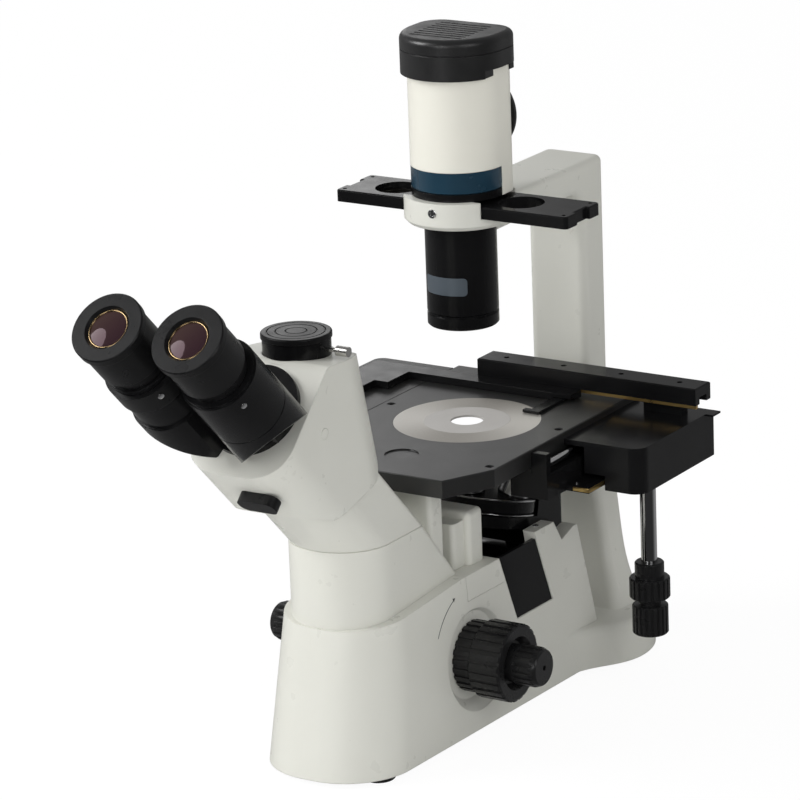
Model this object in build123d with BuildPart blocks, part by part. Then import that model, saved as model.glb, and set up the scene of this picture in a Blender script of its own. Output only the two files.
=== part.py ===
from build123d import *
import os
from math import asin, cos, degrees, pi, radians, sin, sqrt, tan

os.makedirs("parts", exist_ok=True)

# Frame: millimetres, +Z up, origin where the optical axis meets the bench.
# -Y is towards the user, +X is the user's right. The optical axis is x = 0, y = 0.

# Clearances and cutting
run_gap = 0.05          # radial clearance of a shaft in its hole
part_gap = 0.3          # gap between pieces that move past each other
seam_gap = 0.4          # width of a visible joint line
overrun = 5.0           # how far a cut runs past the face it opens

# Stand casting: body, with a round front, tapering upwards
foot_pad = 4.0          # height of the rubber feet, under the casting
body_top = 125.0
body_front_low = -231.0
body_front_top = -208.5
body_half_front_low = 54.0
body_half_front_top = 46.5
body_half_rear_low = 65.0
body_half_rear_top = 51.5
body_rear_low = 83.0
body_rear_top = 65.0
body_round_low = 50.0
body_round_top = 43.0
shoulder_front = 112.0  # height of the shoulder at the front of the body
shoulder_rear = 120.0
shoulder_rear_y = -92.0
rear_block_front = 6.0
rear_block_rear = 35.5
notch_floor = 69.0      # window in the side of the body
notch_front_low = -27.0
notch_front_top = -44.8
notch_rear_low = 22.9
notch_rear_top = 7.2
dip_y = 43.6            # V-shaped dip behind the rear block
dip_z = 108.7
hump_y = 61.0
hump_z = 114.0
well_half = 40.0        # inside width of the body around the nosepiece
well_floor = 84.0
well_front = -36.0
well_rear = 100.0

# Stand casting: flared rear foot
flare_start = -40.0
flare_start_half = 53.5
flare_mid = 55.0
flare_mid_half = 68.0
flare_half = 89.0
flare_y = 102.0
stand_rear = 168.0
flare_round = 66.0
ledge_start_z = 72.0
ledge_mid_y = 5.0
ledge_mid_z = 51.0
ledge_z = 35.0
ledge_y = 70.0
foot_edge_round = 7.0
foot_low_round = 3.0

# Stand casting: flared base of the lamp pillar, as levels of z, half width, front y, rear radius
pillar_half = 25.0
pillar_front = 135.0
pillar_round = 7.0
pillar_joint = 157.0
base_level_shares = (0.0, 0.06, 0.17, 0.38, 0.62, 1.0)
base_spread_shares = (1.0, 0.78, 0.54, 0.33, 0.19, 0.0)
base_reach_shares = (1.0, 0.70, 0.38, 0.13, 0.03, 0.0)
base_spread = 46.0      # extra half width at the ledge
base_reach = 37.0       # how far the front runs forward at the ledge
base_flat_half = 23.0   # flat part of the rear face

# Tower, neck and seam
tower_half = 39.5
tower_front = -209.0
tower_round = 37.0
tower_rear_round = 5.0
seam_z = 170.0
seam_rear = -125.0
rear_slope = 41.0       # lean of the tower's and neck's back, from vertical

# Head, on planes square to the eyepiece axes
eye_incline = 45.0
head_face_y = -274.0    # hinge axis where it meets the head's sloping face
head_face_z = 291.7
head_half = 42.0
head_top = 318.0
head_crown_y = -200.0
head_crown_drop = 7.0
head_drop = 50.5        # underside, below the hinge axis
head_rise = 41.5        # top edge of the sloping face, above the hinge axis
head_depth = 55.0       # length of the underside
head_rear_top = -178.0
head_rear_mid = -162.0
head_rear_mid_z = 252.0
head_rear_low = -185.0
head_floor = 208.0
head_heel = 14.0
head_floor_front = -240.0
head_round = 10.0
head_low_round = 28.0
neck_half = 38.0
neck_under = 38.5
neck_back = 22.5
neck_reach = 60.0       # how far below the face the neck's last section lies
seam_step = 0.5

# Photo port
port_y = -219.4
port_boss_radius = 28.0
port_boss_height = 1.0
port_radius = 24.3
port_height = 12.5
port_bore = 19.0
port_cap_radius = 25.2
port_cap_height = 4.0
port_cap_plug = 5.0
port_cap_round = 1.2
port_ridge = 0.8
port_ridge_shares = (0.28, 0.56, 0.8)
screw_shaft = 1.5
screw_length = 14.0
screw_knob_radius = 3.6
screw_knob_length = 9.5

# Binocular arms
eye_spacing = 65.0
hinge_drop = 22.6       # eyepiece axes lie this far below the hinge axis
hub_radius = 34.6
hub_height = 5.0
arm_radius = 28.0
arm_web_radius = 22.0
arm_length = 55.0
arm_layer = 14.5        # height of each arm's hinge plate
sleeve_length = 47.0
sleeve_bore_depth = 40.0
inner_cut_angle = 14.0  # inner side of each arm, for the narrowest setting
under_cut_x = 0.61
under_cut_v = -0.474
under_cut_d = -0.63
hinge_pin_radius = 6.0
tube_groove = 0.8
under_cut = 23.0        # distance of the slanted cut from the hinge, in the head's face
left_tube_radius = 26.0
sleeve_chamfer = 1.5

# Eyepieces
eye_barrel_radius = 15.0
eye_barrel_length = 33.0
eye_neck_radius = 22.0
eye_neck_length = 9.5
eye_body_radius = 25.0
eye_body_length = 29.0
eye_rim_radius = 26.5
eye_rim_length = 7.0
eye_mouth_radius = 16.5
eye_cup_depth = 2.6
eye_lens_radius = 15.0
eye_lens_rise = 2.2
eye_lens_edge = 3.0
dome_share = 0.76       # rise of the dome halfway out
diopter_radius = 27.4
diopter_low = 24.0
diopter_height = 18.0
diopter_seat = 24.0

# Light path lever
lever_width = 31.0
lever_x = 13.0
lever_depth = 14.0
lever_height = 8.0
lever_place = 28.0      # below the head's face, along the underside

# Lamp pillar, arm and ring holder
arm_top = 375.5
arm_low = 352.0
arm_corner_round = 14.0
ring_radius = 41.0
ring_low = 363.0
ring_top = 383.5
ring_round = 3.0
ring_wall = 6.0
pillar_top_round = 5.0

# Phase slider
slider_length = 197.0
slider_x = 6.0          # centre of the plate when its middle hole is on the axis
slider_half_depth = 24.0
slider_low = 371.5
slider_thick = 9.0
slider_hole = 17.0
slider_pitch = 53.0
slider_notch_width = 18.0
slider_notch_depth = 3.0
slider_end_round = 3.0
slider_hole_inset = 5.0
slider_screw = 1.6
slider_edge = 0.8
cell_inner = 11.0
cell_step = 14.0
cell_height = 4.0

# Condenser
condenser_radius = 26.5
condenser_low = 284.0
condenser_bore = 20.0
condenser_lip = 1.2
condenser_lip_height = 9.0
condenser_lens_rise = 4.0
condenser_lens_edge = 5.0

# Lamp housing
bridge_radius = 35.0
bridge_height = 5.5
teal_radius = 35.0
teal_height = 16.0
teal_bore = 22.0
teal_chamfer = 1.0
lamp_radius = 35.2
lamp_rear = 28.0
lamp_corner = 14.0
lamp_wall = 3.5
lamp_top = 486.0
skirt_front = 3.0
cap_radius = 40.0
cap_rear = 31.0
cap_corner = 20.0
cap_lap = 12.0          # how far the cap reaches down over the housing
cap_height = 30.0
cap_split_height = 18.0
cap_low = lamp_top - cap_lap
cap_top = cap_low + cap_height
cap_split = cap_low + cap_split_height
cap_deck = 6.0          # thickness of the cap's top
cap_round = 5.0
cap_notch_front = -17.0   # raised lower edge on the cap's right side
cap_notch_height = 6.0
cap_rib_count = 8
cap_rib_length = 44.0
cap_rib_width = 2.4
cap_rib_pitch = 6.0
cap_rib_depth = 1.2
cap_rib_shift = 4.0
cap_groove = 0.7
vent_radius = 30.0
vent_neck = 20.0
vent_neck_depth = 4.0
vent_depth = 5.0
vent_z = 436.0
socket_radius = 9.0
socket_height = 12.0
bulb_radius = 5.5
bulb_height = 16.0
bulb_round = 3.0
lamp_plate = 4.0

# Stage
stage_top = 208.0
stage_thick = 13.5
stage_half = 80.0
stage_front = -132.0
stage_rear = 118.0
stage_corner_x = 20.0
stage_corner_y = 39.0
extension_width = 68.0
extension_front = -70.0
extension_rear = 110.0
insert_radius = 55.0
insert_thick = 3.0
insert_seat = 3.0
insert_open = 32.25
disc_hole = 12.2
pocket_radius = 12.5
pocket_y = -91.0
pocket_depth = 1.0
stage_screw_radius = 1.6
stage_screw_head = 3.2
stage_screw_depth = 3.0
stage_screw_x = 73.0
stage_screw_front = -88.0
stage_screw_rear = 10.0
stage_edge = 0.6
extension_round = 8.0
insert_lip = 2.0
leg_half = 37.0         # post of the casting under the stage's front
leg_front = -113.0
leg_rear = -95.0
shelf_front = 100.0     # shelf on the lamp pillar under the stage's rear
shelf_thick = 12.0

# Mechanical stage
unit_left = 80.3
unit_right = 145.0
unit_front = 5.0
unit_rear = 115.0
unit_low = 168.0
unit_top = 201.5
unit_round = 11.0
cover_thick = 1.5
cover_tab = 6.0
guide_left = 62.0       # guide block under the stage's right edge
guide_right = 93.0
guide_front = -42.0
guide_rear = 112.0
guide_low = 171.0
guide_shelf = 190.0
guide_end = 6.0
guide_end_top = 206.0
guide_plate_right = 112.0
guide_plate_front = -15.0
guide_plate_thick = 4.0
rail_radius = 3.0
rail_x = 87.0
rail_z = 195.0
channel_right = 114.0   # the housing is open below over the guide
channel_top = 199.0
tongue_length = 32.0
tongue_width = 10.0
tongue_height = 5.0
tongue_x = 114.0
bar_left = -43.0
bar_right = 146.0
bar_front = 86.0
bar_rear = 109.0
bar_low = 214.0
bar_top = 227.0
bar_edge = 0.8
bar_groove = 82.0       # open at the right end
bar_holes = 4
bar_hole = 2.2
bar_hole_pitch = 50.0
bar_hole_depth = 4.0
rack_width = 3.0
rack_height = 2.6
rack_inset = 2.0
rack_start = 47.0
holder_gap = 0.4
holder_step = 12.0
holder_end = 6.0
holder_back = 16.0
holder_left = -107.0
holder_arm = 28.0
holder_open = 128.0
holder_front = 24.0
holder_back_front = 70.0
finger_width = 9.0
finger_tip = 36.0
finger_hook = 5.0
finger_seat = 2.4
finger_pivot = 4.0
shaft_x = 130.0
shaft_y = 40.0
shaft_radius = 6.0
y_knob_radius = 15.25
y_knob_low = 76.0
y_knob_high = 93.0
y_collar_radius = 11.0
y_collar_top = 105.0
x_knob_radius = 13.5
x_knob_low = 49.0
x_knob_high = 75.7
shaft_depth = 18.0
knob_edge = 1.0
knob_flutes = 20
knob_flute_width = 1.8
knob_flute_depth = 0.9
knob_waist = 8.0
knob_waist_height = 5.0
spindle_radius = 3.0

# Focus drive
focus_y = -84.7
focus_z = 59.0
bush_radius = 14.0
recess_radius = 41.0
recess_floor_radius = 33.0
recess_x = 49.5
tension_radius = 26.5
tension_in = 50.0
tension_out = 64.0
coarse_radius = 29.0
coarse_out = 90.0
coarse_flutes = 24
coarse_flute_width = 3.0
coarse_flute_depth = 1.2
coarse_band = 5.0
fine_radius = 15.0
fine_tip_radius = 13.5
fine_out = 112.0
fine_flutes = 18
fine_flute_width = 2.0
fine_flute_depth = 1.0
fine_shaft = 6.0
coarse_shaft = 9.0
bush_length = 16.0
bush_root = 14.0        # how far the bushes sit in the casting
coarse_dish = 6.0
coarse_hub = 8.0
fine_collar = 2.0
fine_nose = 5.0
fine_screw = 2.0

# Nosepiece
carriage_half = 34.0
carriage_nose = -18.0   # front of the bracket under the turret
carriage_front = 46.0   # front of the sliding block
carriage_rear = 80.0
carriage_low = 99.0
carriage_top = 150.0
carriage_round = 6.0
carriage_front_round = 28.0
rail_half = 12.0
turret_room = 2.5
objective_thread = 4.0
objective_radius = 12.0
objective_height = 44.0
objective_shorter = 7.0
objective_tip = 5.5
objective_step = 1.2
objective_band_share = 0.3
objective_body_share = 0.62
objective_cone_share = 0.86
turret_circle = 24.0    # distance from the turret's axis to each objective
turret_tilt = 15.0
turret_radius = 38.0
turret_thick = 13.0
turret_grip = 6.0
turret_hole = 10.0
turret_shaft = 9.0
turret_seats = 4
seat_z = 154.0          # height of the working objective's shoulder
bracket_thick = 9.0
light_hole = 11.0
rail_slot_front = 68.0
rail_slot_rear = 74.0
rail_top = 148.0

# Cover of the light path, window liner and block cover
shroud_half = 40.0
shroud_rear = -46.0
shroud_front = -66.0
shroud_top = 161.0
shroud_step_half = 35.0
shroud_step_front = -80.0
shroud_step_top = 155.0
shroud_round = 4.0
cover_seam_z = 101.0
cover_seam_front = -88.0
liner_thick = 3.0
liner_recess = 1.0
liner_top = 119.5

# Feet, inlet, switch and brightness knob
pad_radius = 12.0
pad_recess = 1.5
pad_edge = 0.8
pad_front_x = 38.0
pad_front_y = -195.0
pad_rear_x = 66.0
pad_rear_y = 118.0
inlet_width = 28.0
inlet_height = 34.0
inlet_z = 76.0
inlet_depth = 17.0
inlet_wall = 3.0
socket_tall = 24.0
pin_width = 4.0
pin_thick = 2.0
pin_length = 10.0
pin_spread = 5.5
pin_drop = 4.0
switch_z = 108.0
switch_width = 22.0
switch_height = 15.0
rocker_depth = 4.0      # the rocker's pivot lies this far behind the panel
rocker_back = 4.0
rocker_half = 5.0
rocker_tall = 6.4
rocker_front = 5.0
rocker_dish = 2.8
rocker_gap = 0.6
rocker_pin = 1.5
rocker_pin_length = 2.0
dial_radius = 11.0
dial_height = 14.0
dial_shaft = 3.0
dial_y = 24.0
dial_z = 62.0
dial_flutes = 16
dial_seat_x = 57.0
dial_rim = 2.0
light_well = 30.0

# Directions and planes used by several pieces
eye_axis = Vector(0, -sin(radians(eye_incline)), cos(radians(eye_incline)))
up_slope = Vector(0, cos(radians(eye_incline)), sin(radians(eye_incline)))
face_origin = Vector(0, head_face_y, head_face_z)
head_plane = Plane(origin=face_origin, x_dir=(1, 0, 0), z_dir=eye_axis)
eye_half = eye_spacing / 2


def slope_point(up, along):
    """A point in the middle plane, given above the hinge axis and along it from the head's face."""
    spot = face_origin + up_slope * up + eye_axis * along
    return (spot.Y, spot.Z)


def ring_of(outer, inner):
    """An annular sketch round the present location."""
    Circle(outer)
    Circle(inner, mode=Mode.SUBTRACT)


def round_ended(half, front, rear, front_round, rear_round):
    """A rectangle from front to rear, with its own radius at each end."""
    with Locations((0, (front + rear) / 2)):
        Rectangle(2 * half, rear - front)
    fillet(vertices().group_by(Axis.Y)[0], front_round)
    fillet(vertices().group_by(Axis.Y)[-1], rear_round)


def body_level(half_front, half_rear, front, rear, front_round):
    """One level of the stand's body: a trapezium with a round front."""
    corners = [(-half_front, front), (half_front, front), (half_rear, rear), (-half_rear, rear)]
    Polygon(*corners, align=None)
    fillet(vertices().group_by(Axis.Y)[0], front_round)


def turn(origin, along, radial, *points, mode=Mode.ADD):
    """A turned solid about an axis, from its outline in (radius, distance along the axis)."""
    across = Vector(*radial).cross(Vector(*along))
    with BuildSketch(Plane(origin=origin, x_dir=radial, z_dir=across)) as outline:
        Polygon(*points, align=None)
    revolve(outline.sketch, axis=Axis(origin, along), mode=mode)


up = (0, 0, 1)
right = (1, 0, 0)
rearward = (0, 1, 0)

# Foot of the stand, flared towards the rear, with a ledge that runs up along the body
with BuildPart() as foot_blank:
    with BuildSketch(Plane.XY.offset(foot_pad)):
        with BuildLine():
            Line((0, flare_start), (flare_start_half, flare_start))
            Spline((flare_start_half, flare_start), (flare_mid_half, flare_mid), (flare_half, flare_y),
                   tangents=[(flare_mid_half - flare_start_half, flare_mid - flare_start), (0, 1)])
            RadiusArc((flare_half, flare_y), (flare_half - flare_round, stand_rear), -flare_round)
            Line((flare_half - flare_round, stand_rear), (0, stand_rear))
            mirror(about=Plane.YZ)
        make_face()
    extrude(amount=ledge_start_z - foot_pad)
    with BuildSketch(Plane.YZ):
        with BuildLine():
            ramp = Spline((flare_start, ledge_start_z), (ledge_mid_y, ledge_mid_z), (ledge_y, ledge_z),
                          tangents=[(ledge_mid_y - flare_start, ledge_mid_z - ledge_start_z), (1, 0)])
            Polyline(ramp @ 1, (stand_rear + overrun, ledge_z),
                     (stand_rear + overrun, ledge_start_z + overrun),
                     (flare_start - overrun, ledge_start_z + overrun),
                     (flare_start - overrun, ledge_start_z), ramp @ 0)
        make_face()
    extrude(amount=flare_half + overrun, both=True, mode=Mode.SUBTRACT)
    rim = [e for e in foot_blank.edges() if e.center().Z > ledge_z - foot_low_round
           and abs(e.center().X) > base_flat_half and e.center().Y > flare_start + overrun]
    fillet(rim, foot_edge_round)

# Flared base of the lamp pillar
base_levels = [ledge_z - foot_low_round + share * (pillar_joint - ledge_z + foot_low_round)
               for share in base_level_shares]
base_halves = [pillar_half + share * base_spread for share in base_spread_shares]
base_fronts = [pillar_front - share * base_reach for share in base_reach_shares]
with BuildPart() as pillar_base_blank:
    for level, half, front in zip(base_levels, base_halves, base_fronts):
        with BuildSketch(Plane.XY.offset(level)):
            round_ended(half, front, stand_rear, pillar_round, max(pillar_round, half - base_flat_half))
    loft()

# Tower under the neck, with a leaning back
lean = tan(radians(rear_slope))
tower_low = shoulder_front - overrun
tower_rear_low = seam_rear + (seam_z - tower_low) * lean
with BuildPart() as tower_blank:
    with BuildSketch(Plane.XY.offset(tower_low)):
        round_ended(tower_half, tower_front, tower_rear_low + overrun, tower_round, tower_rear_round)
    extrude(amount=seam_z - tower_low)
    with BuildSketch(Plane.YZ):
        Polygon((seam_rear, seam_z + overrun), (seam_rear, seam_z), (tower_rear_low, tower_low),
                (tower_rear_low + 2 * overrun, tower_low), (tower_rear_low + 2 * overrun, seam_z + overrun),
                align=None)
    extrude(amount=tower_half + overrun, both=True, mode=Mode.SUBTRACT)
    leaning_face = tower_blank.faces().sort_by(Axis.Y)[-1]
    fillet(leaning_face.edges().filter_by(lambda e: abs(e.center().X) > tower_round), tower_rear_round)

# Body of the stand, with the two blocks, the window and the well for the nosepiece
with BuildPart() as casting_blank:
    with BuildSketch(Plane.XY.offset(foot_pad)):
        body_level(body_half_front_low, body_half_rear_low, body_front_low, body_rear_low,
                   body_round_low)
    with BuildSketch(Plane.XY.offset(body_top)):
        body_level(body_half_front_top, body_half_rear_top, body_front_top, body_rear_top,
                   body_round_top)
    loft(ruled=True)
    with BuildSketch(Plane.YZ):
        Polygon((body_front_low - overrun, shoulder_front), (body_front_top, shoulder_front),
                (shoulder_rear_y, shoulder_rear), (rear_block_front, shoulder_rear),
                (rear_block_front, body_top), (rear_block_rear, body_top),
                (dip_y, dip_z), (hump_y, hump_z), (body_rear_low, hump_z),
                (body_rear_low, body_top + overrun), (body_front_low - overrun, body_top + overrun),
                align=None)
    extrude(amount=flare_half, both=True, mode=Mode.SUBTRACT)
    add(foot_blank.part)
    add(pillar_base_blank.part)
    add(tower_blank.part)
    with BuildSketch(Plane.YZ):
        Polygon((notch_front_low, notch_floor), (notch_rear_low, notch_floor),
                (notch_rear_top, body_top + overrun), (notch_front_top, body_top + overrun), align=None)
    extrude(amount=flare_half, both=True, mode=Mode.SUBTRACT)
    with BuildSketch(Plane.XY.offset(well_floor)):
        with Locations((0, (well_front + well_rear) / 2)):
            Rectangle(2 * well_half, well_rear - well_front)
    extrude(amount=body_top, mode=Mode.SUBTRACT)
    with BuildSketch(Plane.XY.offset(cover_seam_z)):
        with Locations((0, (leg_front + leg_rear) / 2)):
            Rectangle(2 * leg_half, leg_rear - leg_front)
        fillet(vertices(), shroud_round)
    extrude(amount=stage_top - stage_thick - cover_seam_z)

# Focus drive: holes and recesses through the body, on the line of the focus shaft
focus_line = Vector(0, focus_y, focus_z)
with BuildPart(mode=Mode.PRIVATE) as focus_cuts:
    turn(focus_line, right, rearward, (0, 0), (bush_radius + run_gap, 0),
         (bush_radius + run_gap, body_half_rear_low), (0, body_half_rear_low))
    turn(focus_line, right, rearward, (0, recess_x), (recess_floor_radius, recess_x),
         (recess_radius, recess_x + recess_radius - recess_floor_radius),
         (recess_radius, body_half_rear_low + overrun), (0, body_half_rear_low + overrun))
    mirror(about=Plane.YZ)

# Rear panel: pocket for the mains inlet and switch, and the side hole of the brightness knob
panel_low = inlet_z - inlet_height / 2
panel_high = switch_z + switch_height / 2 + inlet_wall
with BuildPart() as stand_casting:
    add(casting_blank.part)
    add(focus_cuts.part, mode=Mode.SUBTRACT)
    with BuildSketch(Plane.XZ.offset(-stand_rear)):
        with Locations((0, (panel_low + panel_high) / 2)):
            Rectangle(inlet_width, panel_high - panel_low)
    extrude(amount=inlet_depth, mode=Mode.SUBTRACT)
    with BuildSketch(Plane.YZ.offset(-dial_seat_x)):
        with Locations((dial_y, dial_z)):
            Circle(dial_radius + dial_rim)
    extrude(amount=-flare_half, mode=Mode.SUBTRACT)
    with BuildSketch(Plane.YZ.offset(-dial_seat_x)):
        with Locations((dial_y, dial_z)):
            Circle(dial_shaft + run_gap)
    extrude(amount=dial_height, mode=Mode.SUBTRACT)
    with BuildSketch(Plane.XY.offset(foot_pad)):
        with Locations((pad_front_x, pad_front_y), (-pad_front_x, pad_front_y),
                       (pad_rear_x, pad_rear_y), (-pad_rear_x, pad_rear_y)):
            Circle(pad_radius + run_gap)
    extrude(amount=pad_recess, mode=Mode.SUBTRACT)
    with BuildSketch(Plane.XY.offset(cover_seam_z)):
        with Locations((0, (cover_seam_front + notch_front_low) / 2)):
            Rectangle(2 * flare_half, notch_front_low - cover_seam_front)
    extrude(amount=shoulder_rear - cover_seam_z, mode=Mode.SUBTRACT)
    with BuildSketch(Plane.XY.offset(well_floor)):
        Circle(light_hole)
    extrude(amount=-light_well, mode=Mode.SUBTRACT)
stand_casting.part.label = "stand_casting"

# Cap of the front block beside the window, let into the casting
with BuildPart() as block_cover:
    add(casting_blank.part)
    with BuildSketch(Plane.XY.offset(cover_seam_z)):
        with Locations((0, (cover_seam_front + seam_gap + notch_front_low) / 2)):
            Rectangle(2 * flare_half, notch_front_low - cover_seam_front - seam_gap)
    extrude(amount=shoulder_rear - cover_seam_z, mode=Mode.INTERSECT)
block_cover.part.label = "block_cover"

# Head housing: side profile, a round back that leans, and a rounded underside
lean_back = degrees(asin((head_rear_mid - head_rear_top) / (head_top - head_rear_mid_z)))
head_side = [slope_point(-head_drop, 0), slope_point(head_rise, 0), (head_crown_y, head_top),
             (head_rear_top, head_top - head_crown_drop), (head_rear_mid, head_rear_mid_z),
             (head_rear_low, head_floor + head_heel), (head_floor_front, head_floor),
             slope_point(-head_drop, -head_depth)]
with BuildPart() as head_blank:
    with BuildSketch(Plane.YZ):
        Polygon(*head_side, align=None)
        fillet(vertices().sort_by(Axis.Y)[-3:], head_round)
    extrude(amount=head_half, both=True)
    tilted = Plane(origin=(0, head_rear_mid, head_rear_mid_z), x_dir=(1, 0, 0),
                   z_dir=(0, -sin(radians(lean_back)), cos(radians(lean_back))))
    with BuildSketch(tilted):
        with Locations((0, -head_half)):
            Circle(head_half)
        with Locations((0, -2 * head_half)):
            Rectangle(2 * head_half, 2 * head_half)
        with Locations((0, -4 * head_half)):
            Rectangle(2 * head_half, 4 * head_half)
    extrude(amount=head_top, both=True, mode=Mode.INTERSECT)
    with BuildSketch(head_plane):
        round_ended(head_half, -head_drop, head_top, head_low_round, head_round)
    extrude(amount=head_top, both=True, mode=Mode.INTERSECT)

with BuildPart() as head_housing:
    add(head_blank.part)
    turn((0, port_y, head_top - port_height), up, right, (0, 0), (port_boss_radius, 0),
         (port_boss_radius, port_height + port_boss_height), (0, port_height + port_boss_height))
    turn((0, port_y, head_top - port_height), up, right, (0, port_height), (port_bore, port_height),
         (port_bore, port_height + port_boss_height), (0, port_height + port_boss_height),
         mode=Mode.SUBTRACT)
    turn((0, port_y, head_top + port_boss_height), up, right, (port_bore, 0), (port_radius + part_gap, 0),
         (port_radius + part_gap, port_height), (port_bore, port_height), mode=Mode.SUBTRACT)
    turn(face_origin, eye_axis, right, (0, -hub_height), (hinge_pin_radius + run_gap, -hub_height),
         (hinge_pin_radius + run_gap, 0), (0, 0), mode=Mode.SUBTRACT)
head_housing.part.label = "head_housing"

# Neck casting between the seam and the head, cut to the head's own surface
with BuildPart() as neck_casting:
    with BuildSketch(Plane.XY.offset(seam_z)):
        round_ended(tower_half - seam_step, tower_front + seam_step, seam_rear, tower_round, tower_rear_round)
    with BuildSketch(head_plane.offset(-neck_reach)):
        round_ended(neck_half, -neck_under, neck_back, head_low_round, tower_rear_round)
    loft(ruled=True)
    add(head_housing.part, mode=Mode.SUBTRACT)
neck_casting.part.label = "neck_casting"

# Photo port: ring, cap and clamp screw
port_base = head_top + port_boss_height
port_rim = port_base + port_height
with BuildPart() as port_ring:
    turn((0, port_y, port_base), up, right, (port_bore, 0), (port_radius, 0), (port_radius, port_height),
         (port_bore, port_height))
    with BuildSketch(Plane.YZ.offset(port_bore - overrun)):
        with Locations((port_y, port_base + port_height / 2)):
            Circle(screw_shaft + run_gap)
    extrude(amount=port_radius, mode=Mode.SUBTRACT)
port_ring.part.label = "port_ring"

with BuildPart() as port_cap:
    turn((0, port_y, port_rim), up, right, (0, -port_cap_plug), (port_bore - run_gap, -port_cap_plug),
         (port_bore - run_gap, 0), (port_cap_radius, 0), (port_cap_radius, port_cap_height),
         (0, port_cap_height))
    fillet(port_cap.faces().sort_by(Axis.Z)[-1].edges(), port_cap_round)
    for share in port_ridge_shares:
        with BuildSketch(Plane.XY.offset(port_rim + port_cap_height - port_ridge)):
            with Locations((0, port_y)):
                ring_of(share * port_cap_radius + port_ridge, share * port_cap_radius)
        extrude(amount=port_ridge, mode=Mode.SUBTRACT)
port_cap.part.label = "port_cap"

with BuildPart() as port_screw:
    spot = (port_bore + port_ridge, port_y, port_base + port_height / 2)
    turn(spot, right, up, (0, 0), (screw_shaft, 0), (screw_shaft, screw_length),
         (screw_knob_radius, screw_length), (screw_knob_radius, screw_length + screw_knob_length),
         (0, screw_length + screw_knob_length))
port_screw.part.label = "port_screw"

# Hinge of the eyepiece arms: hub plate with a pin that both arms turn on
pin_top = hub_height + 2 * (arm_layer + part_gap)
with BuildPart() as hinge_hub:
    turn(face_origin, eye_axis, right, (0, -hub_height), (hinge_pin_radius, -hub_height),
         (hinge_pin_radius, 0), (hub_radius, 0), (hub_radius, hub_height), (hinge_pin_radius, hub_height),
         (hinge_pin_radius, pin_top), (0, pin_top))
hinge_hub.part.label = "hinge_hub"


def arm(side, layer, tube_radius, tube_start, tube_end):
    """One eyepiece arm: hinge plate in its layer, cup, and the tube that holds the eyepiece."""
    arm_low = hub_height + part_gap
    plate_low = arm_low + layer * (arm_layer + part_gap)
    plate_high = plate_low + arm_layer
    eye = head_plane.from_local_coords(Vector(side * eye_half, -hinge_drop, 0))
    with BuildSketch(head_plane.offset(arm_low)) as web:
        with Locations((side * eye_half, -hinge_drop)):
            Circle(arm_radius)
        Circle(arm_web_radius)
        make_hull()
    extrude(web.sketch, amount=arm_length - arm_low)
    with BuildSketch(head_plane.offset(arm_low)) as other_layers:
        Circle(arm_web_radius + part_gap)
    extrude(other_layers.sketch, amount=arm_length, mode=Mode.SUBTRACT)
    with BuildSketch(head_plane.offset(arm_low)) as inner:
        far = 4 * arm_radius
        cut = radians(inner_cut_angle)
        Polygon((0, 0), (side * far * sin(cut), -far * cos(cut)), (-side * far, -far), (-side * far, far),
                (0, far), align=None)
    extrude(inner.sketch, amount=arm_length, mode=Mode.SUBTRACT)
    leaning = Vector(side * under_cut_x, under_cut_v, under_cut_d).normalized()
    spot = head_plane.from_local_coords(leaning * under_cut)
    split(bisect_by=Plane(origin=spot, z_dir=head_plane.from_local_coords(leaning) - face_origin),
          keep=Keep.BOTTOM)
    with BuildSketch(head_plane.offset(plate_low)) as plate:
        Circle(arm_web_radius)
        with Locations((side * eye_half / 2, -hinge_drop / 2)):
            Rectangle(eye_half, hinge_drop)
    extrude(plate.sketch, amount=arm_layer)
    turn(face_origin, eye_axis, right, (0, plate_low - part_gap),
         (hinge_pin_radius + run_gap, plate_low - part_gap),
         (hinge_pin_radius + run_gap, plate_high + part_gap), (0, plate_high + part_gap), mode=Mode.SUBTRACT)
    turn(eye, eye_axis, right, (0, arm_length), (arm_radius - tube_groove, arm_length),
         (arm_radius - tube_groove, arm_length + tube_groove), (tube_radius, arm_length + tube_groove),
         (tube_radius, tube_start), (tube_end, tube_start), (tube_end, arm_length + sleeve_length),
         (0, arm_length + sleeve_length))
    bore = eye_barrel_radius + run_gap
    turn(eye, eye_axis, right, (0, arm_length + sleeve_length - sleeve_bore_depth),
         (bore, arm_length + sleeve_length - sleeve_bore_depth),
         (bore, arm_length + sleeve_length), (0, arm_length + sleeve_length), mode=Mode.SUBTRACT)


sleeve_top = arm_length + sleeve_length
with BuildPart() as arm_right:
    arm(1, 0, arm_radius, sleeve_top - sleeve_chamfer, arm_radius - sleeve_chamfer)
arm_right.part.label = "arm_right"

with BuildPart() as arm_left:
    arm(-1, 1, left_tube_radius, arm_length + diopter_low, diopter_seat)
arm_left.part.label = "arm_left"


def eye_origin(side):
    """Where an eyepiece's axis meets the head's face."""
    return head_plane.from_local_coords(Vector(side * eye_half, -hinge_drop, 0))


with BuildPart() as diopter_ring:
    diopter_start = arm_length + diopter_low + part_gap
    turn(eye_origin(-1), eye_axis, right, (diopter_seat + run_gap, diopter_start),
         (diopter_radius, diopter_start), (diopter_radius, diopter_start + diopter_height),
         (diopter_seat + run_gap, diopter_start + diopter_height))
diopter_ring.part.label = "diopter_ring"


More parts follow.
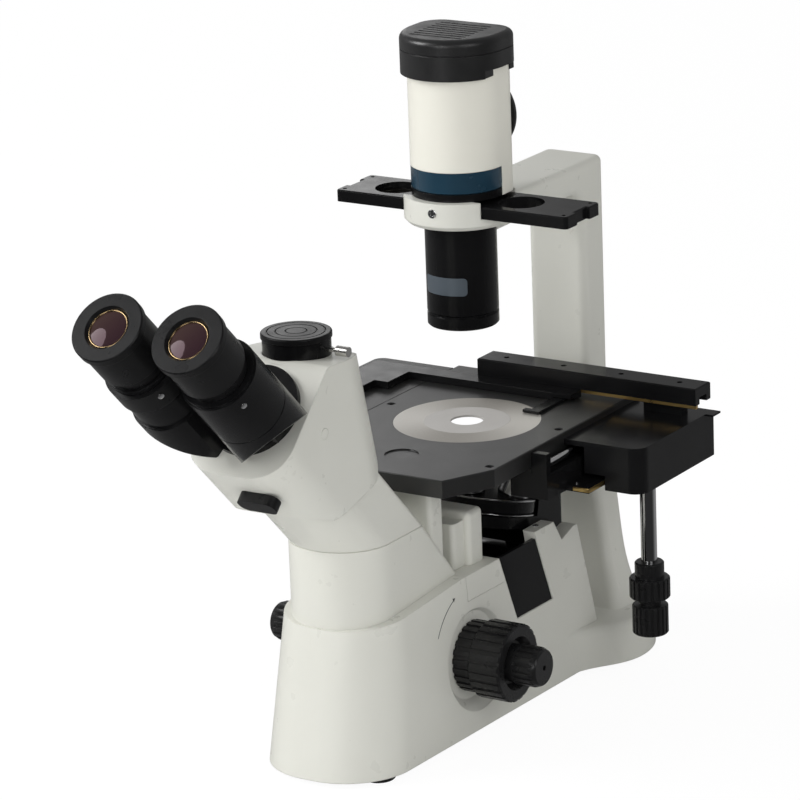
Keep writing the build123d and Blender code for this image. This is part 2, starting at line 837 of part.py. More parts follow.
def eyepiece(side):
    """An eyepiece: barrel, waist, body and rubber rim, with a dished mouth and a seat for its lens."""
    start = sleeve_top + part_gap
    waist = start + eye_neck_length
    collar = waist + eye_body_length
    rim_top = collar + eye_rim_length
    turn(eye_origin(side), eye_axis, right, (0, start - eye_barrel_length),
         (eye_barrel_radius, start - eye_barrel_length), (eye_barrel_radius, start), (eye_neck_radius, start),
         (eye_neck_radius, waist), (eye_body_radius, waist), (eye_body_radius, collar),
         (eye_rim_radius, collar + tube_groove), (eye_rim_radius, rim_top - tube_groove),
         (eye_rim_radius - tube_groove, rim_top), (eye_mouth_radius, rim_top),
         (eye_lens_radius + run_gap, rim_top - eye_cup_depth),
         (eye_lens_radius + run_gap, rim_top - eye_cup_depth - eye_lens_edge),
         (0, rim_top - eye_cup_depth - eye_lens_edge))


with BuildPart() as eyepiece_right:
    eyepiece(1)
eyepiece_right.part.label = "eyepiece_right"

with BuildPart() as eyepiece_left:
    eyepiece(-1)
eyepiece_left.part.label = "eyepiece_left"


def eye_lens(side):
    """The eye lens, a disc with a domed face."""
    seat = sleeve_top + part_gap + eye_neck_length + eye_body_length + eye_rim_length - eye_cup_depth
    turn(eye_origin(side), eye_axis, right, (0, seat - eye_lens_edge), (eye_lens_radius, seat - eye_lens_edge),
         (eye_lens_radius, seat), (dome_share * eye_lens_radius, seat + dome_share * eye_lens_rise),
         (eye_lens_radius / 3, seat + eye_lens_rise), (0, seat + eye_lens_rise))


with BuildPart() as eye_lens_right:
    eye_lens(1)
eye_lens_right.part.label = "eye_lens_right"

with BuildPart() as eye_lens_left:
    eye_lens(-1)
eye_lens_left.part.label = "eye_lens_left"

# Light path lever under the head, a bar that slides sideways in a slot
lever_spot = slope_point(-head_drop, -lever_place)
with BuildPart() as path_lever:
    with BuildSketch(Plane(origin=(lever_x, *lever_spot), x_dir=right, z_dir=-up_slope)):
        RectangleRounded(lever_width, lever_depth, lever_depth / 2 - tube_groove)
    extrude(amount=lever_height)
path_lever.part.label = "path_lever"


# Lamp pillar: column, arm and ring holder in one casting, with a channel for the slider
with BuildPart() as lamp_pillar:
    with BuildSketch(Plane.YZ):
        Polygon((pillar_front, pillar_joint), (stand_rear, pillar_joint), (stand_rear, arm_top),
                (0, arm_top), (0, arm_low), (pillar_front, arm_low), align=None)
        inner_corner = vertices().filter_by_position(Axis.X, pillar_front - overrun, pillar_front + overrun)
        fillet(inner_corner.sort_by(Axis.Y)[-1], arm_corner_round)
    extrude(amount=pillar_half, both=True)
    uprights = lamp_pillar.edges().filter_by(Axis.Z)
    fillet(uprights.filter_by(lambda e: e.center().Y > overrun), pillar_round)
    fillet(lamp_pillar.faces().sort_by(Axis.Z)[-1].edges(), pillar_top_round)
    turn((0, 0, ring_low), up, right, (0, 0), (ring_radius - ring_round, 0), (ring_radius, ring_round),
         (ring_radius, ring_top - ring_low), (0, ring_top - ring_low))
    turn((0, 0, ring_low), up, right, (0, 0), (ring_radius - ring_wall, 0),
         (ring_radius - ring_wall, ring_top - ring_low), (0, ring_top - ring_low), mode=Mode.SUBTRACT)
    with BuildSketch(Plane.XY.offset(slider_low - part_gap)):
        Rectangle(slider_length, 2 * (slider_half_depth + part_gap))
    extrude(amount=ring_top, mode=Mode.SUBTRACT)
    turn((0, 0, ring_low), up, right, (condenser_radius + run_gap, 0), (ring_radius - ring_round, 0),
         (ring_radius - ring_round, slider_low - part_gap - ring_low),
         (condenser_radius + run_gap, slider_low - part_gap - ring_low))
    turn((0, 0, arm_low), up, right, (0, 0), (condenser_radius + run_gap, 0),
         (condenser_radius + run_gap, ring_top - arm_low), (0, ring_top - arm_low), mode=Mode.SUBTRACT)
    with BuildSketch(Plane.XY.offset(stage_top - stage_thick)):
        with Locations((0, (shelf_front + pillar_front + pillar_round) / 2)):
            Rectangle(2 * pillar_half, pillar_front + pillar_round - shelf_front)
        fillet(vertices().group_by(Axis.Y)[0], pillar_round)
    extrude(amount=-shelf_thick)
lamp_pillar.part.label = "lamp_pillar"

# Condenser tube, clamped in the ring by its top
with BuildPart() as condenser_tube:
    tube_height = slider_low - part_gap - condenser_low
    turn((0, 0, condenser_low), up, right, (condenser_bore, 0), (condenser_radius - condenser_lip, 0),
         (condenser_radius, condenser_lip), (condenser_radius, condenser_lip_height),
         (condenser_radius - condenser_lip, condenser_lip_height),
         (condenser_radius - condenser_lip, condenser_lip_height + condenser_lip),
         (condenser_radius, condenser_lip_height + 2 * condenser_lip),
         (condenser_radius, tube_height), (condenser_bore, tube_height))
condenser_tube.part.label = "condenser_tube"

with BuildPart() as condenser_lens:
    turn((0, 0, condenser_low), up, right, (0, 0), (condenser_bore / 3, 0),
         (dome_share * condenser_bore, (1 - dome_share) * condenser_lens_rise),
         (condenser_bore, condenser_lens_rise), (condenser_bore, condenser_lens_rise + condenser_lens_edge),
         (0, condenser_lens_rise + condenser_lens_edge))
condenser_lens.part.label = "condenser_lens"

# Phase slider: plate with three apertures, notched ends and small corner holes
with BuildPart() as phase_slider:
    with BuildSketch(Plane.XY.offset(slider_low)):
        with Locations((slider_x, 0)):
            RectangleRounded(slider_length, 2 * slider_half_depth, slider_end_round)
        with GridLocations(slider_pitch, 0, 3, 1):
            Circle(slider_hole, mode=Mode.SUBTRACT)
        with Locations((slider_x, 0)):
            with GridLocations(slider_length, 0, 2, 1):
                Rectangle(2 * slider_notch_depth, slider_notch_width, mode=Mode.SUBTRACT)
            with GridLocations(slider_length - 2 * slider_hole_inset, 2 * (slider_half_depth - slider_hole_inset),
                               2, 2):
                Circle(slider_screw, mode=Mode.SUBTRACT)
    extrude(amount=slider_thick)
    chamfer(phase_slider.faces().sort_by(Axis.Z)[-1].outer_wire().edges(), slider_edge)
phase_slider.part.label = "phase_slider"

# Stepped cells that hold the phase rings in the left and middle apertures
with BuildPart() as phase_annuli:
    for place in (-slider_pitch, 0):
        turn((place, 0, slider_low), up, right, (cell_inner, 0), (slider_hole, 0), (slider_hole, cell_height),
             (cell_step, cell_height), (cell_step, cell_height / 2), (cell_inner, cell_height / 2))
phase_annuli.part.label = "phase_annuli"

# Bridge over the slider, carried on the ring, which carries the lamp
bridge_high = ring_top + bridge_height
with BuildPart() as slider_bridge:
    turn((0, 0, ring_top), up, right, (teal_bore, 0), (bridge_radius, 0), (bridge_radius, bridge_height),
         (teal_bore, bridge_height))
slider_bridge.part.label = "slider_bridge"

with BuildPart() as diaphragm_ring:
    turn((0, 0, bridge_high), up, right, (teal_bore, 0), (teal_radius - teal_chamfer, 0),
         (teal_radius, teal_chamfer), (teal_radius, teal_height), (teal_bore, teal_height))
diaphragm_ring.part.label = "diaphragm_ring"


def lamp_plan(radius, rear, corner, mode=Mode.ADD):
    """Outline of the lamp house: round in front, straight sides, rounded corners at the back."""
    with BuildLine() as outline:
        front = CenterArc((0, 0), radius, 180, 180)
        FilletPolyline(front @ 1, (radius, rear), (-radius, rear), front @ 0, radius=corner)
    make_face(outline.edges(), mode=mode)


# Lamp house: a shell whose rear half reaches down behind the diaphragm ring to the ring holder
lamp_low = bridge_high + teal_height + part_gap
inside = lamp_radius - lamp_wall
with BuildPart() as lamp_housing:
    with BuildSketch(Plane.XY.offset(lamp_low)):
        lamp_plan(lamp_radius, lamp_rear, lamp_corner)
    extrude(amount=lamp_top - lamp_low)
    with BuildSketch(Plane.XY.offset(lamp_low + lamp_plate)):
        lamp_plan(inside, lamp_rear - lamp_wall, lamp_corner - lamp_wall)
    extrude(amount=lamp_top, mode=Mode.SUBTRACT)
    with BuildSketch(Plane.XY.offset(ring_top)):
        lamp_plan(lamp_radius, lamp_rear, lamp_corner)
        with Locations((0, skirt_front - lamp_radius)):
            Rectangle(4 * lamp_radius, 2 * lamp_radius, mode=Mode.SUBTRACT)
        Circle(teal_radius + run_gap, mode=Mode.SUBTRACT)
    extrude(amount=lamp_low - ring_top)
    with BuildSketch(Plane.XY.offset(lamp_low)):
        Circle(socket_radius)
    extrude(amount=lamp_plate, mode=Mode.SUBTRACT)
    with BuildSketch(Plane.XZ.offset(-lamp_rear)):
        with Locations((0, vent_z)):
            Circle(vent_neck)
    extrude(amount=lamp_wall, mode=Mode.SUBTRACT)
lamp_housing.part.label = "lamp_housing"

with BuildPart() as lamp_vent_disc:
    turn((0, lamp_rear - lamp_wall, vent_z), rearward, right, (0, 0), (vent_neck - run_gap, 0),
         (vent_neck - run_gap, lamp_wall + vent_neck_depth), (vent_radius, lamp_wall + vent_neck_depth),
         (vent_radius, lamp_wall + vent_neck_depth + vent_depth / 2),
         (vent_neck, lamp_wall + vent_neck_depth + vent_depth), (0, lamp_wall + vent_neck_depth + vent_depth))
lamp_vent_disc.part.label = "lamp_vent_disc"

with BuildPart() as lamp_bulb:
    turn((0, 0, lamp_low), up, right, (0, 0), (socket_radius - run_gap, 0),
         (socket_radius - run_gap, lamp_plate), (socket_radius + overrun, lamp_plate),
         (socket_radius + overrun, socket_height), (bulb_radius, socket_height),
         (bulb_radius, socket_height + bulb_height), (0, socket_height + bulb_height))
    fillet(lamp_bulb.faces().sort_by(Axis.Z)[-1].edges(), bulb_round)
lamp_bulb.part.label = "lamp_bulb"

# Lamp cap: a vented lid with a skirt over the lamp house, split by a groove
with BuildPart() as lamp_cap:
    with BuildSketch(Plane.XY.offset(cap_low)):
        lamp_plan(cap_radius, cap_rear, cap_corner)
    extrude(amount=cap_top - cap_low)
    fillet(lamp_cap.faces().sort_by(Axis.Z)[-1].edges(), cap_round)
    with BuildSketch(Plane.XY.offset(cap_low)):
        lamp_plan(lamp_radius + part_gap, lamp_rear + part_gap, lamp_corner)
    extrude(amount=cap_top - cap_deck - cap_low, mode=Mode.SUBTRACT)
    with BuildSketch(Plane.XY.offset(cap_split)):
        lamp_plan(cap_radius + overrun, cap_rear + overrun, cap_corner + overrun)
        lamp_plan(cap_radius - cap_groove, cap_rear - cap_groove, cap_corner - cap_groove, mode=Mode.SUBTRACT)
    extrude(amount=cap_groove, mode=Mode.SUBTRACT)
    with BuildSketch(Plane.YZ.offset(lamp_radius)):
        with Locations(((cap_notch_front + cap_rear) / 2, cap_low)):
            Rectangle(cap_rear - cap_notch_front, 2 * cap_notch_height)
    extrude(amount=cap_radius, mode=Mode.SUBTRACT)
    with BuildSketch(Plane.XY.offset(cap_top)):
        with Locations((0, -cap_rib_shift)):
            with GridLocations(0, cap_rib_pitch, 1, cap_rib_count):
                SlotOverall(cap_rib_length, cap_rib_width)
    extrude(amount=-cap_rib_depth, mode=Mode.SUBTRACT)
lamp_cap.part.label = "lamp_cap"



# Stage plate: chamfered front corners, a stepped hole for the insert and a shallow round pocket
stage_low = stage_top - stage_thick
screw_spots = [(stage_screw_x, stage_screw_front), (-stage_screw_x, stage_screw_front),
               (stage_screw_x, stage_screw_rear), (-stage_screw_x, stage_screw_rear)]
with BuildPart() as stage_plate:
    with BuildSketch(Plane.XY.offset(stage_low)):
        Polygon((-stage_half, stage_rear), (-stage_half, stage_front + stage_corner_y),
                (-stage_half + stage_corner_x, stage_front), (stage_half - stage_corner_x, stage_front),
                (stage_half, stage_front + stage_corner_y), (stage_half, stage_rear), align=None)
        Circle(insert_radius - insert_seat, mode=Mode.SUBTRACT)
    extrude(amount=stage_thick)
    chamfer(stage_plate.faces().sort_by(Axis.Z)[-1].outer_wire().edges(), stage_edge)
    with BuildSketch(Plane.XY.offset(stage_top)):
        Circle(insert_radius + run_gap)
    extrude(amount=-insert_thick, mode=Mode.SUBTRACT)
    with BuildSketch(Plane.XY.offset(stage_top)):
        with Locations((0, pocket_y)):
            Circle(pocket_radius)
    extrude(amount=-pocket_depth, mode=Mode.SUBTRACT)
    with BuildSketch(Plane.XY.offset(stage_top)):
        with Locations(*screw_spots):
            Circle(stage_screw_head + run_gap)
    extrude(amount=-stage_screw_depth, mode=Mode.SUBTRACT)
stage_plate.part.label = "stage_plate"

with BuildPart() as stage_extension:
    with BuildSketch(Plane.XY.offset(stage_low)):
        with Locations((-stage_half - extension_width / 2, (extension_front + extension_rear) / 2)):
            Rectangle(extension_width, extension_rear - extension_front)
        fillet(vertices().group_by(Axis.X)[0], extension_round)
    extrude(amount=stage_thick)
stage_extension.part.label = "stage_extension"

# Socket screws sunk in the stage
with BuildPart() as stage_screws:
    for spot in screw_spots:
        turn((*spot, stage_top - stage_screw_depth), up, right, (0, 0), (stage_screw_head, 0),
             (stage_screw_head, stage_screw_depth - stage_edge), (stage_screw_radius, stage_screw_depth - stage_edge),
             (stage_screw_radius, stage_edge), (0, stage_edge))
stage_screws.part.label = "stage_screws"

with BuildPart() as insert_ring:
    turn((0, 0, stage_top - insert_thick), up, right, (insert_open - insert_lip, 0), (insert_radius, 0),
         (insert_radius, insert_thick), (insert_open + run_gap, insert_thick),
         (insert_open + run_gap, insert_thick / 2), (insert_open - insert_lip, insert_thick / 2))
insert_ring.part.label = "insert_ring"

with BuildPart() as insert_disc:
    turn((0, 0, stage_top - insert_thick / 2), up, right, (disc_hole, 0), (insert_open, 0),
         (insert_open, insert_thick / 2), (disc_hole, insert_thick / 2))
insert_disc.part.label = "insert_disc"

# Guide of the mechanical stage, bolted under the stage's right edge, with its round rail and rack plate
with BuildPart() as stage_guide:
    with BuildSketch(Plane.XZ):
        Polygon((guide_left, guide_low), (guide_plate_right, guide_low), (guide_plate_right, guide_low + guide_plate_thick),
                (guide_right, guide_low + guide_plate_thick), (guide_right, guide_shelf),
                (unit_left - part_gap, guide_shelf), (unit_left - part_gap, stage_low), (guide_left, stage_low),
                align=None)
    extrude(amount=-guide_rear)
    with BuildSketch(Plane.XZ):
        Polygon((guide_left, guide_low), (guide_right, guide_low), (guide_right, guide_shelf),
                (unit_left - part_gap, guide_shelf), (unit_left - part_gap, stage_low), (guide_left, stage_low),
                align=None)
    extrude(amount=-guide_front)
    with BuildSketch(Plane.XY.offset(guide_low)):
        with Locations(((guide_right + guide_plate_right) / 2, guide_plate_front / 2)):
            Rectangle(guide_plate_right - guide_right, -guide_plate_front)
    extrude(amount=guide_plate_thick)
    for end, end_top in ((guide_front, guide_end_top), (guide_rear - guide_end, channel_top - part_gap)):
        with BuildSketch(Plane.XY.offset(guide_shelf)):
            with Locations(((unit_left + guide_right) / 2, end + guide_end / 2)):
                Rectangle(guide_right - unit_left, guide_end)
        extrude(amount=end_top - guide_shelf)
    with BuildSketch(Plane.XZ.offset(-guide_front)):
        with Locations((rail_x, rail_z)):
            Circle(rail_radius)
    extrude(amount=guide_front - guide_rear)
stage_guide.part.label = "stage_guide"

# Housing of the mechanical stage, open below over its guide, with a tongue on top for the cross bar
with BuildPart() as y_housing:
    with BuildSketch(Plane.XY.offset(unit_low)):
        with Locations(((unit_left + unit_right) / 2, (unit_front + unit_rear) / 2)):
            Rectangle(unit_right - unit_left, unit_rear - unit_front)
        fillet(vertices().sort_by(Axis.X)[-2:].sort_by(Axis.Y)[0], unit_round)
    extrude(amount=unit_top - unit_low)
    with BuildSketch(Plane.XZ):
        Polygon((unit_left - overrun, unit_low - overrun), (channel_right, unit_low - overrun),
                (channel_right, guide_low + 2 * guide_plate_thick), (guide_right + guide_plate_thick,
                                                                     guide_low + 2 * guide_plate_thick),
                (guide_right + guide_plate_thick, channel_top), (unit_left - overrun, channel_top), align=None)
    extrude(amount=-unit_rear - overrun, mode=Mode.SUBTRACT)
    with BuildSketch(Plane.XY.offset(unit_top)):
        with Locations((tongue_x, (bar_front + bar_rear) / 2)):
            Rectangle(tongue_length, tongue_width)
    extrude(amount=bar_low + tongue_height - unit_top)
    turn((shaft_x, shaft_y, unit_low), up, right, (0, 0), (shaft_radius + run_gap, 0),
         (shaft_radius + run_gap, shaft_depth), (0, shaft_depth), mode=Mode.SUBTRACT)
y_housing.part.label = "y_housing"

with BuildPart() as housing_cover:
    with BuildSketch(Plane.XY.offset(unit_top)):
        with Locations(((unit_left + unit_right) / 2, (unit_front + unit_rear) / 2)):
            Rectangle(unit_right - unit_left, unit_rear - unit_front)
        fillet(vertices().sort_by(Axis.X)[-2:].sort_by(Axis.Y)[0], unit_round)
        with Locations((unit_right, unit_rear - cover_tab)):
            Rectangle(2 * cover_tab, 2 * cover_tab)
        with Locations((tongue_x, (bar_front + bar_rear) / 2)):
            Rectangle(tongue_length + 2 * run_gap, tongue_width + 2 * run_gap, mode=Mode.SUBTRACT)
    extrude(amount=cover_thick)
housing_cover.part.label = "housing_cover"

# Cross bar that slides along the tongue, grooved below, with holes on top
with BuildPart() as x_bar:
    with BuildSketch(Plane.XY.offset(bar_low)):
        with Locations(((bar_left + bar_right) / 2, (bar_front + bar_rear) / 2)):
            Rectangle(bar_right - bar_left, bar_rear - bar_front)
    extrude(amount=bar_top - bar_low)
    chamfer(x_bar.faces().sort_by(Axis.Z)[-1].edges(), bar_edge)
    with BuildSketch(Plane.XY.offset(bar_low)):
        with Locations((bar_right - bar_groove / 2, (bar_front + bar_rear) / 2)):
            Rectangle(bar_groove, tongue_width + 2 * part_gap)
    extrude(amount=tongue_height + part_gap, mode=Mode.SUBTRACT)
    with BuildSketch(Plane.XY.offset(bar_top)):
        with Locations(((bar_left + bar_right) / 2, (bar_front + bar_rear) / 2)):
            with GridLocations(bar_hole_pitch, 0, bar_holes, 1):
                Circle(bar_hole)
    extrude(amount=-bar_hole_depth, mode=Mode.SUBTRACT)
x_bar.part.label = "x_bar"

# Brass rack along the front lower edge of the bar
with BuildPart() as x_rack:
    with BuildSketch(Plane.XY.offset(bar_low - rack_height)):
        with Locations(((rack_start + bar_right) / 2, bar_front + rack_inset)):
            Rectangle(bar_right - rack_start, rack_width)
    extrude(amount=rack_height)
x_rack.part.label = "x_rack"

# Well plate holder: one bent frame under the bar, open on its right
holder_low = stage_top + holder_gap
holder_right = holder_left + holder_step + holder_open
with BuildPart() as plate_holder:
    with BuildSketch(Plane.XY.offset(holder_low)):
        with BuildLine():
            Polyline((holder_right + finger_width + holder_end, holder_back_front + holder_back),
                     (holder_left - holder_arm, holder_back_front + holder_back),
                     (holder_left - holder_arm, holder_front), (holder_left, holder_front),
                     (holder_left, holder_front + holder_back),
                     (holder_left + holder_step, holder_front + holder_back),
                     (holder_left + holder_step, holder_back_front),
                     (holder_right + finger_width + holder_end, holder_back_front), close=True)
        make_face()
        with Locations(((bar_left + rack_start - holder_end) / 2, holder_back_front + holder_back)):
            Rectangle(rack_start - holder_end - bar_left, holder_back)
    extrude(amount=bar_low - holder_low)
    with BuildSketch(Plane.XY.offset(holder_low)):
        with Locations((holder_right + finger_width / 2, holder_back_front + finger_width / 2)):
            Circle(finger_width / 2 + part_gap)
            with Locations((holder_end, -finger_width / 2)):
                Rectangle(finger_width + 2 * (holder_end + part_gap), finger_width + finger_pivot)
    extrude(amount=finger_seat, mode=Mode.SUBTRACT)
    with BuildSketch(Plane.XY.offset(holder_low)):
        with Locations((holder_right + finger_width / 2, holder_back_front + finger_width / 2)):
            Circle(finger_pivot / 2)
    extrude(amount=finger_seat)
plate_holder.part.label = "plate_holder"

with BuildPart() as holder_finger:
    with BuildSketch(Plane.XY.offset(holder_low + run_gap)):
        with Locations((holder_right + finger_width / 2, holder_back_front + finger_width / 2)):
            Circle(finger_width / 2)
            with Locations((0, (finger_tip - holder_back_front - finger_width / 2) / 2)):
                Rectangle(finger_width, holder_back_front + finger_width / 2 - finger_tip)
        with Locations((holder_right + finger_width / 2 - finger_hook / 2, finger_tip)):
            Rectangle(finger_width + finger_hook, finger_hook)
        with Locations((holder_right + finger_width / 2, holder_back_front + finger_width / 2)):
            Circle(finger_pivot / 2 + run_gap, mode=Mode.SUBTRACT)
    extrude(amount=finger_seat - 2 * run_gap - part_gap)
holder_finger.part.label = "holder_finger"


def ribbed(origin, along, radial, radius, low, high, count, width, depth):
    """Cut a ring of straight flutes into a knob between two distances along its axis."""
    base = Vector(*origin) + Vector(*along) * low
    with BuildSketch(Plane(origin=base, x_dir=radial, z_dir=along)) as flutes:
        with PolarLocations(radius, count):
            Rectangle(2 * depth, width)
    extrude(flutes.sketch, amount=high - low, mode=Mode.SUBTRACT)


# Coaxial drive of the mechanical stage: tube with the upper knob, and the lower knob on its spindle
shaft_foot = (shaft_x, shaft_y, 0)
with BuildPart() as coax_tube:
    turn(shaft_foot, up, right, (spindle_radius + run_gap, y_knob_low), (shaft_radius, y_knob_low),
         (shaft_radius, unit_low + shaft_depth - part_gap), (spindle_radius + run_gap, unit_low + shaft_depth - part_gap))
coax_tube.part.label = "coax_tube"

with BuildPart() as y_knob:
    turn(shaft_foot, up, right, (shaft_radius + run_gap, y_knob_low), (knob_waist, y_knob_low),
         (knob_waist, y_knob_low + knob_edge), (y_knob_radius - knob_edge, y_knob_low + knob_edge),
         (y_knob_radius, y_knob_low + 2 * knob_edge), (y_knob_radius, y_knob_high - knob_edge),
         (y_knob_radius - knob_edge, y_knob_high), (y_collar_radius, y_knob_high),
         (y_collar_radius, y_collar_top - knob_edge), (y_collar_radius - knob_edge, y_collar_top),
         (shaft_radius + run_gap, y_collar_top))
    ribbed(shaft_foot, up, right, y_knob_radius, y_knob_low, y_knob_high, knob_flutes, knob_flute_width,
           knob_flute_depth)
y_knob.part.label = "y_knob"

with BuildPart() as x_knob:
    spindle_top = unit_low + shaft_depth - part_gap
    turn(shaft_foot, up, right, (0, x_knob_low), (x_knob_radius - knob_edge, x_knob_low),
         (x_knob_radius, x_knob_low + knob_edge), (x_knob_radius, x_knob_high - knob_waist_height),
         (x_knob_radius - knob_edge, x_knob_high - knob_waist_height + knob_edge),
         (knob_waist, x_knob_high - knob_waist_height + knob_edge), (knob_waist, x_knob_high),
         (spindle_radius, x_knob_high), (spindle_radius, spindle_top), (0, spindle_top))
    ribbed(shaft_foot, up, right, x_knob_radius, x_knob_low, x_knob_high - knob_waist_height + knob_edge,
           knob_flutes, knob_flute_width, knob_flute_depth)
x_knob.part.label = "x_knob"

# Focus drive: bushes, tension ring, coarse and fine knobs on one line
with BuildPart() as focus_bushes:
    turn(focus_line, right, rearward, (coarse_shaft + run_gap, tension_out - bush_length - bush_root),
         (bush_radius, tension_out - bush_length - bush_root), (bush_radius, tension_out),
         (coarse_shaft + run_gap, tension_out))
    mirror(about=Plane.YZ)
    turn(focus_line, (-1, 0, 0), rearward, (bush_radius, tension_in), (tension_radius, tension_in),
         (tension_radius, tension_out), (bush_radius, tension_out))
focus_bushes.part.label = "focus_bushes"

with BuildPart() as tension_ring:
    turn(focus_line, right, rearward, (bush_radius + run_gap, tension_in), (tension_radius, tension_in),
         (tension_radius, tension_out - knob_edge), (tension_radius - knob_edge, tension_out),
         (bush_radius + run_gap, tension_out))
    ribbed(focus_line, right, rearward, tension_radius, tension_in, tension_out, coarse_flutes,
           coarse_flute_width, coarse_flute_depth)
tension_ring.part.label = "tension_ring"


def coarse_knob(side, *bore):
    """A coarse knob: deep cup with a fluted band."""
    along = (side, 0, 0)
    start = tension_out + part_gap
    turn(focus_line, along, rearward, *bore, (coarse_radius - knob_edge, start),
         (coarse_radius, start + knob_edge), (coarse_radius, coarse_out - knob_edge),
         (coarse_radius - 2 * knob_edge, coarse_out), (fine_radius + coarse_band, coarse_out),
         (fine_radius + knob_edge, coarse_out - coarse_dish), (fine_shaft + run_gap, coarse_out - coarse_dish))
    ribbed(focus_line, along, rearward, coarse_radius, start, coarse_out, coarse_flutes,
           coarse_flute_width, coarse_flute_depth)


with BuildPart() as coarse_knob_right:
    coarse_knob(1, (coarse_shaft + run_gap, tension_out + part_gap),)
    turn(focus_line, right, rearward, (0, tension_out + part_gap), (coarse_shaft + run_gap, tension_out + part_gap),
         (coarse_shaft + run_gap, tension_out + part_gap + coarse_hub), (0, tension_out + part_gap + coarse_hub),
         mode=Mode.SUBTRACT)
coarse_knob_right.part.label = "coarse_knob_right"

with BuildPart() as coarse_knob_left:
    coarse_knob(-1, (fine_shaft + run_gap, tension_out + part_gap),)
    turn(focus_line, right, rearward, (fine_shaft + run_gap, -tension_out - part_gap - coarse_hub),
         (coarse_shaft, -tension_out - part_gap - coarse_hub), (coarse_shaft, tension_out + coarse_hub),
         (fine_shaft + run_gap, tension_out + coarse_hub))
coarse_knob_left.part.label = "coarse_knob_left"


def fine_knob(side, bore):
    """A fine knob: tapered, ribbed, with a plain collar next to the coarse knob."""
    along = (side, 0, 0)
    start = coarse_out - coarse_dish + part_gap
    turn(focus_line, along, rearward, (bore, start), (fine_radius - knob_edge, start),
         (fine_radius - knob_edge, coarse_out + fine_collar), (fine_radius, coarse_out + fine_collar),
         (fine_radius, fine_out - fine_nose), (fine_tip_radius, fine_out - knob_edge),
         (fine_tip_radius - knob_edge, fine_out), (bore, fine_out))
    ribbed(focus_line, along, rearward, fine_radius, coarse_out + 2 * fine_collar, fine_out, fine_flutes,
           fine_flute_width, fine_flute_depth)


with BuildPart() as fine_knob_right:
    fine_knob(1, fine_screw + run_gap)
    turn(focus_line, right, rearward, (fine_screw, fine_out - fine_nose), (fine_tip_radius / 2, fine_out - fine_nose),
         (fine_tip_radius / 2, fine_out - knob_edge), (fine_screw, fine_out - knob_edge))
    turn(focus_line, right, rearward, (0, coarse_out - coarse_dish), (fine_shaft + run_gap, coarse_out - coarse_dish),
         (fine_shaft + run_gap, fine_out - fine_nose), (0, fine_out - fine_nose), mode=Mode.SUBTRACT)
fine_knob_right.part.label = "fine_knob_right"

with BuildPart() as fine_knob_left:
    fine_knob(-1, 0)
    turn(focus_line, right, rearward, (0, -fine_out + fine_nose), (fine_shaft, -fine_out + fine_nose),
         (fine_shaft, fine_out - fine_nose - part_gap), (0, fine_out - fine_nose - part_gap))
fine_knob_left.part.label = "fine_knob_left"


# Nosepiece: the turret's axis leans back, and every objective's axis passes through one point on it
tilt = radians(turret_tilt)
seat_distance = turret_circle / sin(tilt)
apex = Vector(0, 0, seat_z - seat_distance)
turret_axis = Vector(0, sin(tilt), cos(tilt))
turret_plane = Plane(origin=apex, x_dir=right, z_dir=turret_axis)


def cone_height(radius):
    """Height of the turret's conical top at a radius, along its axis from the apex."""
    return seat_distance / cos(tilt) - radius * tan(tilt)


def objective_axis(place):
    """Direction of an objective, counted from the working one."""
    turned = 2 * pi * place / turret_seats
    local = Vector(sin(turned) * sin(tilt), -cos(turned) * sin(tilt), cos(tilt))
    return turret_plane.from_local_coords(local) - apex


def turned_objective(place, *points, mode=Mode.ADD):
    """Revolve an outline about an objective's axis; distances count from the apex."""
    along = objective_axis(place)
    turn(apex, along, along.cross(turret_axis).normalized(), *points, mode=mode)


turret_base = cone_height(turret_radius) - turret_thick
with BuildPart() as nosepiece_turret:
    turn(apex, turret_axis, right, (0, turret_base), (turret_radius - turret_grip / 2, turret_base),
         (turret_radius, turret_base + turret_grip / 2), (turret_radius, cone_height(turret_radius) - turret_grip / 4),
         (turret_radius - turret_grip / 4, cone_height(turret_radius)), (0, cone_height(0)))
    turn(apex, turret_axis, right, (0, turret_base), (turret_shaft + run_gap, turret_base),
         (turret_shaft + run_gap, turret_base + turret_thick), (0, turret_base + turret_thick), mode=Mode.SUBTRACT)
    for place in range(turret_seats):
        turned_objective(place, (0, turret_base / 2), (turret_hole, turret_base / 2),
                         (turret_hole, seat_distance + turret_thick), (0, seat_distance + turret_thick),
                         mode=Mode.SUBTRACT)
nosepiece_turret.part.label = "nosepiece_turret"


def objective(place, length, tip):
    """An objective screwed into a seat of the turret."""
    band = seat_distance + objective_band_share * length
    end = seat_distance + length
    body = objective_radius - objective_step
    turned_objective(place, (0, seat_distance - objective_thread),
                     (turret_hole - run_gap, seat_distance - objective_thread),
                     (turret_hole - run_gap, seat_distance), (objective_radius, seat_distance),
                     (objective_radius, band), (body, band + objective_step),
                     (body, seat_distance + objective_body_share * length),
                     (tip, seat_distance + objective_cone_share * length), (tip, end), (0, end))


with BuildPart() as objective_high:
    objective(0, objective_height, objective_tip)
objective_high.part.label = "objective_high"

with BuildPart() as objective_mid:
    objective(1, objective_height - objective_shorter, objective_tip + objective_step)
objective_mid.part.label = "objective_mid"

with BuildPart() as objective_low:
    objective(3, objective_height - 2 * objective_shorter, objective_tip + 2 * objective_step)
objective_low.part.label = "objective_low"

# Carriage of the nosepiece: bracket under the turret and a block that slides on the upright rail
bracket_top = turret_base - part_gap


def bracket_line(along, y):
    """Height at y of the plane square to the turret's axis, a distance along it from the apex."""
    return apex.Z + (along - y * sin(tilt)) / cos(tilt)


